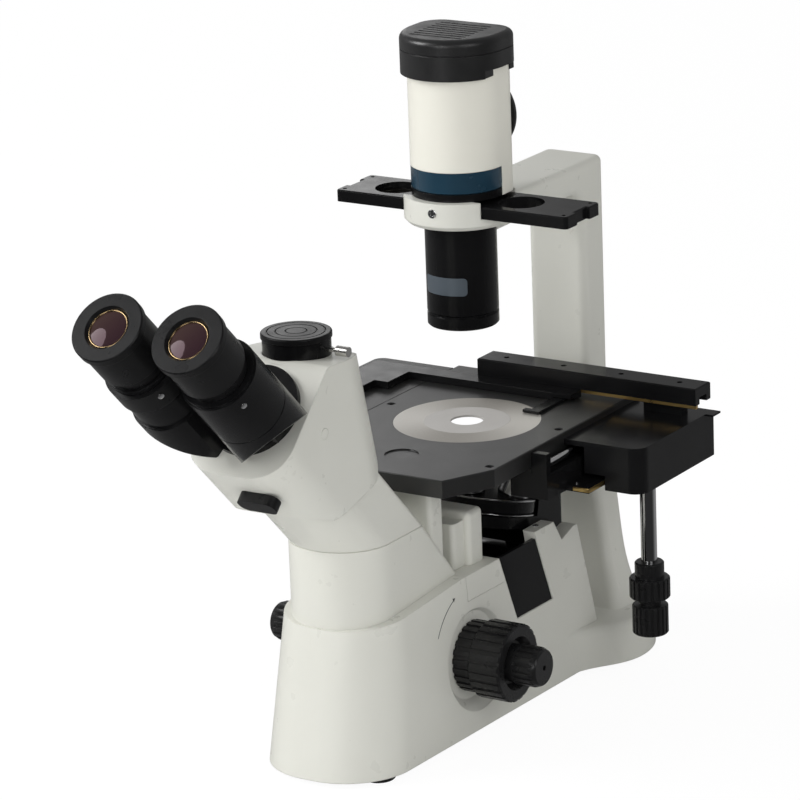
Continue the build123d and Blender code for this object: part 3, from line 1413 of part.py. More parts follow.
with BuildPart() as nosepiece_carriage:
    with BuildSketch(Plane.XY.offset(carriage_low)):
        round_ended(carriage_half, carriage_nose, carriage_rear, carriage_front_round, carriage_round)
    extrude(amount=carriage_top - carriage_low)
    turn(apex, turret_axis, right, (0, bracket_top), (turret_radius + turret_room, bracket_top),
         (turret_radius + turret_room, carriage_top + carriage_half), (0, carriage_top + carriage_half),
         mode=Mode.SUBTRACT)
    with BuildSketch(Plane.YZ):
        Polygon((carriage_nose - overrun, bracket_line(bracket_top - bracket_thick, carriage_nose - overrun)),
                (carriage_front, bracket_line(bracket_top - bracket_thick, carriage_front)),
                (carriage_front, carriage_low - overrun), (carriage_nose - overrun, carriage_low - overrun),
                align=None)
    extrude(amount=carriage_half, both=True, mode=Mode.SUBTRACT)
    with BuildSketch(Plane.YZ):
        Polygon((carriage_nose - overrun, bracket_line(bracket_top, carriage_nose - overrun)),
                (turret_circle, bracket_line(bracket_top, turret_circle)), (turret_circle, carriage_top + overrun),
                (carriage_nose - overrun, carriage_top + overrun), align=None)
    extrude(amount=carriage_half, both=True, mode=Mode.SUBTRACT)
    with BuildSketch(Plane.XY.offset(carriage_low)):
        with Locations((0, (rail_slot_front + rail_slot_rear) / 2)):
            Rectangle(2 * (rail_half + part_gap), rail_slot_rear - rail_slot_front + 2 * part_gap)
    extrude(amount=carriage_top - carriage_low, mode=Mode.SUBTRACT)
    with BuildSketch(Plane.XY.offset(carriage_low)):
        Circle(light_hole)
    extrude(amount=carriage_top - carriage_low, mode=Mode.SUBTRACT)
    turn(apex, turret_axis, right, (0, bracket_top), (turret_shaft, bracket_top),
         (turret_shaft, turret_base + turret_thick - part_gap), (0, turret_base + turret_thick - part_gap))
nosepiece_carriage.part.label = "nosepiece_carriage"

# Upright rail that guides the carriage, standing in the well of the body
with BuildPart() as focus_rail:
    with BuildSketch(Plane.XY.offset(well_floor)):
        with Locations((0, (rail_slot_front + rail_slot_rear) / 2)):
            Rectangle(2 * rail_half, rail_slot_rear - rail_slot_front)
    extrude(amount=rail_top - well_floor)
focus_rail.part.label = "focus_rail"

# Cover of the light path on the front block, in two stepped boxes with rounded edges
with BuildPart() as tube_shroud:
    with BuildSketch(Plane.XY.offset(shoulder_rear)):
        with Locations((0, (shroud_front + shroud_rear) / 2)):
            Rectangle(2 * shroud_half, shroud_rear - shroud_front)
    extrude(amount=shroud_top - shoulder_rear)
    fillet(tube_shroud.edges().filter_by(Axis.Z), shroud_round)
    fillet(tube_shroud.faces().sort_by(Axis.Z)[-1].edges(), shroud_round)
    with BuildSketch(Plane.XY.offset(shoulder_rear)) as step:
        with Locations((0, (shroud_step_front + shroud_front + shroud_round) / 2)):
            Rectangle(2 * shroud_step_half, shroud_front + shroud_round - shroud_step_front)
        fillet(vertices().group_by(Axis.Y)[0], shroud_round)
    extrude(amount=shroud_step_top - shoulder_rear)
tube_shroud.part.label = "tube_shroud"

# Black plates that close the window on both sides, just behind the body's skin
with BuildPart() as window_liner:
    rise_share = (liner_top - notch_floor) / (body_top + overrun - notch_floor)
    liner_front = notch_front_low + rise_share * (notch_front_top - notch_front_low) + part_gap
    liner_rear = notch_rear_low + rise_share * (notch_rear_top - notch_rear_low) - part_gap
    for inset, mode in ((liner_recess, Mode.ADD), (liner_recess + liner_thick, Mode.SUBTRACT)):
        with BuildSketch(Plane.XY.offset(foot_pad)):
            Polygon((inset - body_half_front_low, body_front_low), (body_half_front_low - inset, body_front_low),
                    (body_half_rear_low - inset, body_rear_low), (inset - body_half_rear_low, body_rear_low),
                    align=None)
        with BuildSketch(Plane.XY.offset(body_top)):
            Polygon((inset - body_half_front_top, body_front_top), (body_half_front_top - inset, body_front_top),
                    (body_half_rear_top - inset, body_rear_top), (inset - body_half_rear_top, body_rear_top),
                    align=None)
        loft(ruled=True, mode=mode)
    with BuildSketch(Plane.YZ):
        Polygon((notch_front_low + part_gap, notch_floor), (notch_rear_low - part_gap, notch_floor),
                (liner_rear, liner_top), (liner_front, liner_top), align=None)
    extrude(amount=flare_half, both=True, mode=Mode.INTERSECT)
window_liner.part.label = "window_liner"

# Rubber feet, glued into shallow recesses of the casting
with BuildPart() as rubber_feet:
    for spot in ((pad_front_x, pad_front_y), (-pad_front_x, pad_front_y),
                 (pad_rear_x, pad_rear_y), (-pad_rear_x, pad_rear_y)):
        turn((*spot, 0), up, right, (0, 0), (pad_radius - pad_edge, 0), (pad_radius, pad_edge),
             (pad_radius, foot_pad + pad_recess), (0, foot_pad + pad_recess))
rubber_feet.part.label = "rubber_feet"

# Mains inlet and switch frame, in one moulding let into the back of the stand
with BuildPart() as mains_inlet:
    with BuildSketch(Plane.XZ.offset(inlet_depth - stand_rear)):
        with Locations((0, (panel_low + panel_high) / 2)):
            Rectangle(inlet_width, panel_high - panel_low)
    extrude(amount=-inlet_depth)
    with BuildSketch(Plane.XZ.offset(-stand_rear)):
        with Locations((0, inlet_z)):
            Rectangle(inlet_width - 2 * inlet_wall, socket_tall)
            chamfer(vertices().group_by(Axis.Y)[-1], inlet_wall)
    extrude(amount=inlet_depth - inlet_wall, mode=Mode.SUBTRACT)
    with BuildSketch(Plane.XZ.offset(-stand_rear)):
        with Locations((0, switch_z)):
            Rectangle(switch_width, switch_height)
    extrude(amount=inlet_depth - inlet_wall, mode=Mode.SUBTRACT)
    with BuildSketch(Plane.XZ.offset(inlet_depth - inlet_wall - stand_rear)):
        with Locations((-pin_spread, inlet_z - pin_drop), (pin_spread, inlet_z - pin_drop), (0, inlet_z + pin_drop)):
            Rectangle(pin_thick, pin_width)
    extrude(amount=-pin_length)
    with BuildSketch(Plane.YZ):
        with Locations((stand_rear - rocker_depth, switch_z)):
            Circle(rocker_pin + run_gap)
    extrude(amount=switch_width / 2 + rocker_pin_length, both=True, mode=Mode.SUBTRACT)
mains_inlet.part.label = "mains_inlet"

with BuildPart() as power_rocker:
    with BuildSketch(Plane.YZ):
        with Locations((stand_rear - rocker_depth, switch_z)):
            Polygon((-rocker_back, -rocker_half), (-rocker_back, rocker_half), (rocker_depth / 2, rocker_tall),
                    (rocker_front, rocker_tall), (rocker_dish, 0), (rocker_front, -rocker_tall),
                    (rocker_depth / 2, -rocker_tall), align=None)
    extrude(amount=switch_width / 2 - rocker_gap, both=True)
    with BuildSketch(Plane.YZ):
        with Locations((stand_rear - rocker_depth, switch_z)):
            Circle(rocker_pin)
    extrude(amount=switch_width / 2 + rocker_pin_length - part_gap, both=True)
power_rocker.part.label = "power_rocker"

with BuildPart() as brightness_knob:
    dial_foot = (-dial_seat_x, dial_y, dial_z)
    turn(dial_foot, (-1, 0, 0), rearward, (0, part_gap - dial_height), (dial_shaft, part_gap - dial_height),
         (dial_shaft, part_gap), (dial_radius, part_gap), (dial_radius, dial_height - knob_edge),
         (dial_radius - knob_edge, dial_height), (0, dial_height))
    ribbed(dial_foot, (-1, 0, 0), rearward, dial_radius, knob_edge, dial_height, dial_flutes,
           fine_flute_width, fine_flute_depth)
brightness_knob.part.label = "brightness_knob"

pieces = [stand_casting, rubber_feet, neck_casting, head_housing, window_liner, block_cover, tube_shroud,
          lamp_pillar, stage_plate, stage_extension, stage_screws, mains_inlet, focus_bushes, focus_rail,
          stage_guide, hinge_hub, port_ring, condenser_tube, condenser_lens, lamp_housing, lamp_bulb,
          lamp_vent_disc, slider_bridge, insert_ring, insert_disc, power_rocker, brightness_knob,
          tension_ring, coarse_knob_right, coarse_knob_left, fine_knob_right, fine_knob_left,
          nosepiece_carriage, nosepiece_turret, objective_low, objective_mid, objective_high, y_housing,
          housing_cover, x_bar, x_rack, coax_tube, y_knob, x_knob, plate_holder, holder_finger,
          phase_slider, phase_annuli, diaphragm_ring, lamp_cap, port_cap, port_screw, path_lever,
          arm_right, arm_left, eyepiece_right, eyepiece_left, diopter_ring, eye_lens_right, eye_lens_left]
for piece in pieces:
    export_step(piece.part, f"parts/{piece.part.label}.step")
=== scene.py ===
import math

import bmesh
import bpy
from mathutils import Matrix, Vector


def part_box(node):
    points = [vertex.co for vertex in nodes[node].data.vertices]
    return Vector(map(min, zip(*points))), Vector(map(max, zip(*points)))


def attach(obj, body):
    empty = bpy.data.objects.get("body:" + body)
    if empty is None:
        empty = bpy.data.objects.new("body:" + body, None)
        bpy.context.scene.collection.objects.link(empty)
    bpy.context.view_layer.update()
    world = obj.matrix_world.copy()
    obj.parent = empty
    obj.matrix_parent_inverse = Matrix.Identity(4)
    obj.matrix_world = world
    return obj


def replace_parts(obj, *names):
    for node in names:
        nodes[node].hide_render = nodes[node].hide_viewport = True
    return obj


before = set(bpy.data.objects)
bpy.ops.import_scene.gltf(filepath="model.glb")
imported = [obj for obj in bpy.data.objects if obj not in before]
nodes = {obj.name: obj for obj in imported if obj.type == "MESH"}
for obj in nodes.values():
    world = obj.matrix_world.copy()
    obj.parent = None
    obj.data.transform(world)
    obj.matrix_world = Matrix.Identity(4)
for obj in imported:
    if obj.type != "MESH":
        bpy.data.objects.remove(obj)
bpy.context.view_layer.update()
bpy.ops.object.select_all(action="DESELECT")
scene = bpy.context.scene
scene.view_settings.view_transform = "Standard"

# Camera: a long lens in front of the microscope, on its right and a little above it, so that its
# upright lines stay nearly parallel.
cam_right = Vector((0.8442, 0.5347, -0.0367)).normalized()
cam_back = Vector((0.5205, -0.8016, 0.2940)).normalized()
cam_up = cam_back.cross(cam_right).normalized()
cam_data = bpy.data.cameras.new("camera")
cam_data.sensor_width = 36.0
cam_data.lens = 202.5
cam_data.clip_start = 0.05
cam_data.clip_end = 40.0
camera = bpy.data.objects.new("camera", cam_data)
scene.collection.objects.link(camera)
cam_aim = Vector((0, 0, 0.208))
cam_aside = -0.0497736
cam_above = 0.0148068
cam_away = 3.339506
cam_place = cam_aim + cam_right * cam_aside + cam_up * cam_above + cam_back * cam_away
camera.matrix_world = Matrix.Translation(cam_place) @ Matrix(
    (cam_right, cam_up, cam_back)).transposed().to_4x4()
scene.camera = camera

# Room: plain and pale, white behind the microscope and dim behind the camera, so that black and
# chromed faces turned to the viewer stay deep.
room_light = 0.40
mirrored_behind = 0.25
mirrored_in_front = 0.03
fade_start = -0.35
fade_end = 0.55
viewer_side = (0.53, -0.80, 0.10)
world = bpy.data.worlds.new("pale_room")
world.use_nodes = True
scene.world = world
tree = world.node_tree
sky = tree.nodes["Background"]
sky.inputs["Color"].default_value = (1.0, 1.0, 1.0, 1.0)
sky.inputs["Strength"].default_value = room_light
seen = tree.nodes.new("ShaderNodeBackground")
seen.inputs["Color"].default_value = (1.0, 1.0, 1.0, 1.0)
seen.inputs["Strength"].default_value = 1.0
mirrored = tree.nodes.new("ShaderNodeBackground")
mirrored.inputs["Color"].default_value = (1.0, 1.0, 1.0, 1.0)
heading = tree.nodes.new("ShaderNodeTexCoord")
towards = tree.nodes.new("ShaderNodeVectorMath")
towards.operation = "DOT_PRODUCT"
towards.inputs[1].default_value = viewer_side
fade = tree.nodes.new("ShaderNodeMapRange")
fade.interpolation_type = "SMOOTHSTEP"
fade.inputs["From Min"].default_value = fade_start
fade.inputs["From Max"].default_value = fade_end
fade.inputs["To Min"].default_value = mirrored_behind
fade.inputs["To Max"].default_value = mirrored_in_front
tree.links.new(heading.outputs["Generated"], towards.inputs[0])
tree.links.new(towards.outputs["Value"], fade.inputs["Value"])
tree.links.new(fade.outputs["Result"], mirrored.inputs["Strength"])
ray = tree.nodes.new("ShaderNodeLightPath")
glossy = tree.nodes.new("ShaderNodeMixShader")
tree.links.new(ray.outputs["Is Glossy Ray"], glossy.inputs["Fac"])
tree.links.new(sky.outputs[0], glossy.inputs[1])
tree.links.new(mirrored.outputs[0], glossy.inputs[2])
clear = tree.nodes.new("ShaderNodeMath")
clear.operation = "MAXIMUM"
tree.links.new(ray.outputs["Is Camera Ray"], clear.inputs[0])
tree.links.new(ray.outputs["Is Transmission Ray"], clear.inputs[1])
choose = tree.nodes.new("ShaderNodeMixShader")
tree.links.new(clear.outputs[0], choose.inputs["Fac"])
tree.links.new(glossy.outputs[0], choose.inputs[1])
tree.links.new(seen.outputs[0], choose.inputs[2])
tree.links.new(choose.outputs[0], tree.nodes["World Output"].inputs["Surface"])

# Floor: a pale matt board that runs off to the horizon. It looks almost as white as the room and
# keeps a weak shadow of the stand.
floor_size = 30.0
floor_glow = 1.045
floor_glow_share = 0.9
floor_paint = bpy.data.materials.new("pale_floor")
floor_paint.use_nodes = True
tree = floor_paint.node_tree
board = tree.nodes["Principled BSDF"]
board.inputs["Base Color"].default_value = (0.92, 0.92, 0.92, 1.0)
board.inputs["Roughness"].default_value = 0.9
board.inputs["Specular IOR Level"].default_value = 0.1
bright = tree.nodes.new("ShaderNodeEmission")
bright.inputs["Color"].default_value = (1.0, 1.0, 1.0, 1.0)
bright.inputs["Strength"].default_value = floor_glow
ray = tree.nodes.new("ShaderNodeLightPath")
mostly = tree.nodes.new("ShaderNodeMath")
mostly.operation = "MULTIPLY"
mostly.inputs[1].default_value = floor_glow_share
choose = tree.nodes.new("ShaderNodeMixShader")
tree.links.new(ray.outputs["Is Camera Ray"], mostly.inputs[0])
tree.links.new(mostly.outputs[0], choose.inputs["Fac"])
tree.links.new(board.outputs[0], choose.inputs[1])
tree.links.new(bright.outputs[0], choose.inputs[2])
tree.links.new(choose.outputs[0], tree.nodes["Material Output"].inputs["Surface"])
bpy.ops.mesh.primitive_plane_add(size=floor_size, location=(0, 0, 0))
floor = bpy.context.object
floor.name = "floor"
floor.data.materials.append(floor_paint)
floor.visible_glossy = False
bpy.ops.object.select_all(action="DESELECT")

# Lamps of the room: one large soft light above on the left, a weak one on the right, a low one from
# the front, and one far behind on the left that gives black plates their sheen.
light_aim = Vector((0, -0.1, 0.22))
for label, place, size, power in (("key_light", (-2.1, -1.6, 1.9), 1.5, 48.0),
                                  ("side_light", (2.1, -1.2, 1.3), 1.2, 10.0),
                                  ("front_light", (0.2, -2.6, 0.9), 1.0, 12.0),
                                  ("back_light", (-2.1, 2.4, 1.35), 1.1, 4.5)):
    lamp = bpy.data.lights.new(label, "AREA")
    lamp.shape = "DISK"
    lamp.size = size
    lamp.energy = power
    holder = bpy.data.objects.new(label, lamp)
    scene.collection.objects.link(holder)
    holder.location = place
    holder.rotation_mode = "QUATERNION"
    holder.rotation_quaternion = (light_aim - Vector(place)).to_track_quat("-Z", "Y")

# Body of the stand: one aluminium casting under a warm off-white stove paint with a fine orange peel
# and softened edges. The well round the nosepiece is painted near black and dull inside, as painted
# shade.


def noise(tree, scale, detail=2.0, source=None):
    """A noise on the piece's own coordinates, in lumps per metre."""
    lumps = tree.nodes.new("ShaderNodeTexNoise")
    lumps.inputs["Scale"].default_value = scale
    lumps.inputs["Detail"].default_value = detail
    if source is None:
        place = tree.nodes.new("ShaderNodeTexCoord")
        source = place.outputs["Object"]
    tree.links.new(source, lumps.inputs["Vector"])
    return lumps.outputs["Fac"]


def spread(tree, value, low, high):
    """Stretch a 0.3 to 0.7 noise over the range from low to high."""
    ramp = tree.nodes.new("ShaderNodeMapRange")
    ramp.inputs["From Min"].default_value = 0.3
    ramp.inputs["From Max"].default_value = 0.7
    ramp.inputs["To Min"].default_value = low
    ramp.inputs["To Max"].default_value = high
    tree.links.new(value, ramp.inputs["Value"])
    return ramp.outputs["Result"]


def tinted(tree, value, colour, other):
    """A colour that wanders between two near ones."""
    mix = tree.nodes.new("ShaderNodeMix")
    mix.data_type = "RGBA"
    mix.inputs[6].default_value = (*colour, 1.0)
    mix.inputs[7].default_value = (*other, 1.0)
    tree.links.new(value, mix.inputs["Factor"])
    return mix.outputs[2]


def soft_edges(tree, radius, grain, depth):
    """Rounded edges with a fine bump on top of them, as a normal."""
    edge = tree.nodes.new("ShaderNodeBevel")
    edge.samples = 4
    edge.inputs["Radius"].default_value = radius
    bump = tree.nodes.new("ShaderNodeBump")
    bump.inputs["Strength"].default_value = 1.0
    bump.inputs["Distance"].default_value = depth
    tree.links.new(grain, bump.inputs["Height"])
    tree.links.new(edge.outputs["Normal"], bump.inputs["Normal"])
    return bump.outputs["Normal"]


def finish_of(name, colour, other, rough, metallic=0.0, grain=900.0, depth=0.00003, edge=0.0006, coat=0.0,
              shine=0.5):
    """A finish with a slight drift in colour and gloss, a fine grain and softened edges."""
    made = bpy.data.materials.new(name)
    made.use_nodes = True
    tree = made.node_tree
    skin = tree.nodes["Principled BSDF"]
    drift = noise(tree, 14.0, 3.0)
    tree.links.new(tinted(tree, spread(tree, drift, 0.0, 1.0), colour, other), skin.inputs["Base Color"])
    gloss = noise(tree, 60.0, 4.0)
    tree.links.new(spread(tree, gloss, rough[0], rough[1]), skin.inputs["Roughness"])
    skin.inputs["Metallic"].default_value = metallic
    skin.inputs["Specular IOR Level"].default_value = shine
    if coat:
        skin.inputs["Coat Weight"].default_value = coat
        skin.inputs["Coat Roughness"].default_value = 0.12
    tree.links.new(soft_edges(tree, edge, noise(tree, grain, 2.0), depth), skin.inputs["Normal"])
    return made


def dress(finish, *names):
    """Put a finish on CAD nodes."""
    for name in names:
        nodes[name].data.materials.clear()
        nodes[name].data.materials.append(finish)


stove_paint = finish_of("stove_paint", (0.755, 0.755, 0.690), (0.775, 0.775, 0.712), (0.27, 0.33),
                        grain=520.0, depth=0.00002, edge=0.0012)
body_paint = stove_paint.copy()
body_paint.name = "body_paint"
tree = body_paint.node_tree
skin = tree.nodes["Principled BSDF"]
outer_colour = skin.inputs["Base Color"].links[0].from_socket
place = tree.nodes.new("ShaderNodeTexCoord")
parts = tree.nodes.new("ShaderNodeSeparateXYZ")
tree.links.new(place.outputs["Object"], parts.inputs[0])
inside = None
# Painted shade: inside these limits of the well the paint turns near black and dull, standing in for the
# shade in the well.
well_limits = (("X", 0.0404, "LESS_THAN"), ("Y", -0.0365, "GREATER_THAN"), ("Y", 0.1002, "LESS_THAN"),
               ("Z", 0.0686, "GREATER_THAN"), ("Z", 0.1247, "LESS_THAN"))
for axis, limit, side in well_limits:
    value = parts.outputs[axis]
    if axis == "X":
        width = tree.nodes.new("ShaderNodeMath")
        width.operation = "ABSOLUTE"
        tree.links.new(value, width.inputs[0])
        value = width.outputs[0]
    test = tree.nodes.new("ShaderNodeMath")
    test.operation = side
    test.inputs[1].default_value = limit
    tree.links.new(value, test.inputs[0])
    if inside is None:
        inside = test.outputs[0]
    else:
        both = tree.nodes.new("ShaderNodeMath")
        both.operation = "MULTIPLY"
        tree.links.new(inside, both.inputs[0])
        tree.links.new(test.outputs[0], both.inputs[1])
        inside = both.outputs[0]
painted_well_shade = tree.nodes.new("ShaderNodeMix")
painted_well_shade.data_type = "RGBA"
tree.links.new(inside, painted_well_shade.inputs["Factor"])
tree.links.new(outer_colour, painted_well_shade.inputs[6])
painted_well_shade.inputs[7].default_value = (0.010, 0.010, 0.011, 1.0)
tree.links.new(painted_well_shade.outputs[2], skin.inputs["Base Color"])
dull_inside = tree.nodes.new("ShaderNodeMix")
tree.links.new(inside, dull_inside.inputs["Factor"])
tree.links.new(skin.inputs["Roughness"].links[0].from_socket, dull_inside.inputs[2])
dull_inside.inputs[3].default_value = 0.85
tree.links.new(dull_inside.outputs[0], skin.inputs["Roughness"])
dress(body_paint, "stand_casting")

# Cap of the front block and black liners of the window. The cap is the same paint as the body, the
# liners are folded sheet under a matt black lacquer.
dress(stove_paint, "block_cover")
satin_lacquer = finish_of("satin_lacquer", (0.0055, 0.0055, 0.006), (0.009, 0.009, 0.0095), (0.17, 0.25),
                          grain=2200.0, depth=0.00001, edge=0.0005, shine=0.2)
dress(satin_lacquer, "window_liner")

# Socket screws of the blocks: bright steel, turned, with a chamfered rim and a round socket. Each one
# sits in the top of its block.


def pick(wanted):
    """Select the faces of the mesh in edit mode that answer to a test."""
    shape = bmesh.from_edit_mesh(bpy.context.object.data)
    for face in shape.faces:
        face.select_set(bool(wanted(face)))
    shape.select_flush_mode()
    bmesh.update_edit_mesh(bpy.context.object.data)


def settle(name, body, finish, angle=35.0):
    """Fix the new piece in place with its finish and let it ride on its body."""
    piece = bpy.context.object
    piece.name = name
    bpy.ops.object.transform_apply(location=True, rotation=True, scale=True)
    piece.data.materials.clear()
    piece.data.materials.append(finish)
    bpy.ops.object.shade_smooth_by_angle(angle=math.radians(angle))
    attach(piece, body)
    bpy.ops.object.select_all(action="DESELECT")
    return piece


def socket_screw(name, place, out, radius, proud, body):
    """A socket screw whose head stands proud of its seat."""
    outward = Vector(out).normalized()
    turned = outward.to_track_quat("Z", "Y").to_euler()
    bevel_share = 0.12
    rim_share = 0.36
    socket_share = 0.9
    bpy.ops.mesh.primitive_cylinder_add(vertices=32, radius=radius, depth=2 * proud, location=place,
                                        rotation=turned)
    bpy.ops.object.mode_set(mode="EDIT")
    pick(lambda face: face.normal.z > 0.9)
    bpy.ops.mesh.bevel(offset=bevel_share * radius, segments=2, affect="EDGES")
    pick(lambda face: face.normal.z > 0.99)
    bpy.ops.mesh.inset(thickness=rim_share * radius)
    bpy.ops.mesh.extrude_region_move(TRANSFORM_OT_translate={"value": outward * -socket_share * proud})
    bpy.ops.object.mode_set(mode="OBJECT")
    return settle(name, body, bright_chrome)


bright_chrome = finish_of("bright_chrome", (0.70, 0.70, 0.71), (0.76, 0.76, 0.77), (0.06, 0.12),
                          metallic=1.0, grain=1200.0, depth=0.000004, edge=0.0004)
upwards = (0.0, 0.0, 1.0)
for name, place in (("rear_block_screw", (0.0435, 0.022, 0.1250)),
                    ("rear_block_screw_left", (-0.0435, 0.022, 0.1250))):
    socket_screw(name, place, upwards, 0.0024, 0.0005, "stand")

# Printed mark beside the tension ring: an arc with an arrow head that shows which way the ring
# tightens, screen-printed in dark ink on the body's right side.
ink = finish_of("ink", (0.03, 0.03, 0.03), (0.04, 0.04, 0.04), (0.5, 0.6), edge=0.0001)
focus_y = -0.0847
focus_z = 0.059
mark_radius = 0.0535
line_width = 0.0006
ink_thickness = 0.00012
sunk = 0.00002
arrow_radius = 0.0019
cut_headings = (203.0, 59.0)
tip_angle = math.radians(113.0)
side_low = 0.004
side_tall = 0.121
front_x = (0.054, 0.0465)
rear_x = (0.065, 0.0515)
front_y = (-0.231, -0.2085)
rear_y = (0.083, 0.065)


def between(ends, share):
    """The value at a share of the way from the first end to the second."""
    return ends[0] + (ends[1] - ends[0]) * share


def on_body_side(across, up):
    """The body's right side at a place given by y and z. It leans in from the foot to the top."""
    share = (up - side_low) / side_tall
    start = between(front_y, share)
    end = between(rear_y, share)
    front = between(front_x, share)
    rear = between(rear_x, share)
    return front + (rear - front) * (across - start) / (end - start)


bpy.ops.mesh.primitive_circle_add(vertices=128, radius=mark_radius, fill_type="NGON", location=(0, 0, 0))
bpy.ops.object.mode_set(mode="EDIT")
pick(lambda face: True)
bpy.ops.mesh.inset(thickness=line_width)
bpy.ops.mesh.delete(type="FACE")
for heading in cut_headings:
    bpy.ops.mesh.select_all(action="SELECT")
    bpy.ops.mesh.bisect(plane_co=(0, 0, 0), clear_inner=True,
                        plane_no=(math.cos(math.radians(heading)), math.sin(math.radians(heading)), 0))
bpy.ops.object.mode_set(mode="OBJECT")
arc = bpy.context.object
tip = (mark_radius * math.cos(tip_angle), mark_radius * math.sin(tip_angle), 0)
bpy.ops.mesh.primitive_circle_add(vertices=3, radius=arrow_radius, fill_type="NGON", location=tip,
                                  rotation=(0, 0, tip_angle - math.pi))
arc.select_set(True)
bpy.context.view_layer.objects.active = arc
bpy.ops.object.join()
bpy.ops.object.mode_set(mode="EDIT")
bpy.ops.mesh.select_all(action="SELECT")
bpy.ops.mesh.extrude_region_move(TRANSFORM_OT_translate={"value": (0, 0, ink_thickness)})
bpy.ops.object.mode_set(mode="OBJECT")
for corner in arc.data.vertices:
    across = focus_y + corner.co.x
    height = focus_z + corner.co.y
    corner.co = Vector((on_body_side(across, height) - sunk + corner.co.z, across, height))
bpy.ops.object.mode_set(mode="EDIT")
bpy.ops.mesh.select_all(action="SELECT")
bpy.ops.mesh.normals_make_consistent(inside=False)
bpy.ops.object.mode_set(mode="OBJECT")
settle("tension_mark", "stand", ink)

# Rubber feet: round pads moulded in matt black rubber. They are glued into shallow recesses under
# the body.
foot_rubber = finish_of("foot_rubber", (0.012, 0.012, 0.012), (0.018, 0.017, 0.016), (0.7, 0.85),
                        grain=1500.0)
dress(foot_rubber, "rubber_feet")

# Mains inlet, power rocker and brightness knob: black moulded plastic with a fine spark-eroded
# texture. The inlet holds three nickel-plated contact pins.
fine_plastic = finish_of("fine_plastic", (0.007, 0.007, 0.0075), (0.011, 0.011, 0.0115), (0.26, 0.36),
                         grain=2600.0, depth=0.00002, edge=0.0006, shine=0.2)
dress(fine_plastic, "mains_inlet", "power_rocker", "brightness_knob")
pin_size = (0.00215, 0.0103, 0.00415)
pin_y = 0.1592
pin_bevel = 0.0006
for count, (across, height) in enumerate(((-0.0055, 0.072), (0.0055, 0.072), (0.0, 0.080))):
    bpy.ops.mesh.primitive_cube_add(size=1.0, location=(across, pin_y, height))
    bpy.ops.transform.resize(value=pin_size)
    bpy.ops.object.transform_apply(location=False, scale=True)
    bpy.ops.object.mode_set(mode="EDIT")
    pick(lambda face: face.normal.y > 0.9)
    bpy.ops.mesh.bevel(offset=pin_bevel, segments=3, affect="EDGES")
    bpy.ops.object.mode_set(mode="OBJECT")
    settle(f"inlet_pin_{count}", "stand", bright_chrome)

# Cover of the light path between body and stage: two stepped blocks, moulded in one and painted
# to match the stand.
dress(stove_paint, "tube_shroud")

# Neck and head: hollow aluminium castings in the same stove paint as the body, bolted together along
# fine seams. A round plug closes the adjusting hole in the head's right side.
dress(stove_paint, "neck_casting", "head_housing")
plug_place = (0.042, -0.2518, 0.2751)
plug_radius = 0.0042
plug_depth = 0.0008
plug_rim = 0.0006
plug_dish = 0.0003
bpy.ops.mesh.primitive_cylinder_add(vertices=48, radius=plug_radius, depth=plug_depth,
                                    location=plug_place, rotation=(0, math.radians(90), 0))
bpy.ops.object.mode_set(mode="EDIT")
pick(lambda face: face.normal.z > 0.9)
bpy.ops.mesh.inset(thickness=plug_rim)
bpy.ops.mesh.extrude_region_move(TRANSFORM_OT_translate={"value": (-plug_dish, 0, 0)})
bpy.ops.object.mode_set(mode="OBJECT")
settle("head_plug", "stand", stove_paint)

# Photo port: a black lacquered ring with a moulded cap, held by a knurled steel screw. The light
# path lever under the head is a black moulded bar.
dress(satin_lacquer, "port_ring")
dress(fine_plastic, "port_cap", "path_lever")
ground_steel = finish_of("ground_steel", (0.56, 0.55, 0.53), (0.62, 0.61, 0.59), (0.22, 0.34),
                         metallic=1.0, grain=3000.0, depth=0.00001, edge=0.0003)
dress(ground_steel, "port_screw")

# Hinge hub and eyepiece arms: cast, machined and lacquered satin black. A socket screw clamps the
# tube of the right arm.
dress(satin_lacquer, "hinge_hub", "arm_right", "arm_left")
socket_screw("arm_right_screw", (0.05545, -0.36570, 0.32925), (0.82, -0.4, -0.4), 0.0022, 0.0006,
             "right_arm")

# Eyepieces and diopter ring: turned barrels with a matt black rubber-like rim. A stop screw sits in
# the diopter ring. The eye lens is a dome of coated glass, kept by a thin gold-coloured ring.
dress(fine_plastic, "eyepiece_right", "eyepiece_left", "diopter_ring")
socket_screw("diopter_screw", (-0.0115, -0.3664, 0.3273), (0.77, -0.45, -0.45), 0.0024, 0.0006,
             "diopter")
eye_glass_painted_rim = bpy.data.materials.new("eye_glass_painted_rim")
eye_glass_painted_rim.use_nodes = True
tree = eye_glass_painted_rim.node_tree
skin = tree.nodes["Principled BSDF"]
# Painted reflection: the lens colour runs from dark purple where it faces the camera to brown towards its
# rim, standing in for a brown reflection round the rim.
facing = tree.nodes.new("ShaderNodeLayerWeight")
facing.inputs["Blend"].default_value = 0.35
tree.links.new(tinted(tree, facing.outputs["Facing"], (0.030, 0.014, 0.022), (0.10, 0.065, 0.04)),
               skin.inputs["Base Color"])
tree.links.new(spread(tree, noise(tree, 300.0), 0.03, 0.06), skin.inputs["Roughness"])
skin.inputs["Specular IOR Level"].default_value = 0.22
skin.inputs["Specular Tint"].default_value = (0.75, 0.52, 0.60, 1.0)
gold_ring = finish_of("gold_ring", (0.30, 0.21, 0.11), (0.36, 0.26, 0.14), (0.15, 0.25), metallic=1.0,
                      depth=0.000005)
eye_axis = Vector((0, -math.sqrt(0.5), math.sqrt(0.5)))
lens_radius = 0.0149
lens_rise = 0.0021
ball_radius = (lens_radius ** 2 + lens_rise ** 2) / (2 * lens_rise)
seat_above_middle = 0.0011
eye_half_distance = 0.0325
ring_radius = 0.0142
ring_wire = 0.0007
ring_lift = 0.0004
turned = eye_axis.to_track_quat("Z", "Y").to_euler()
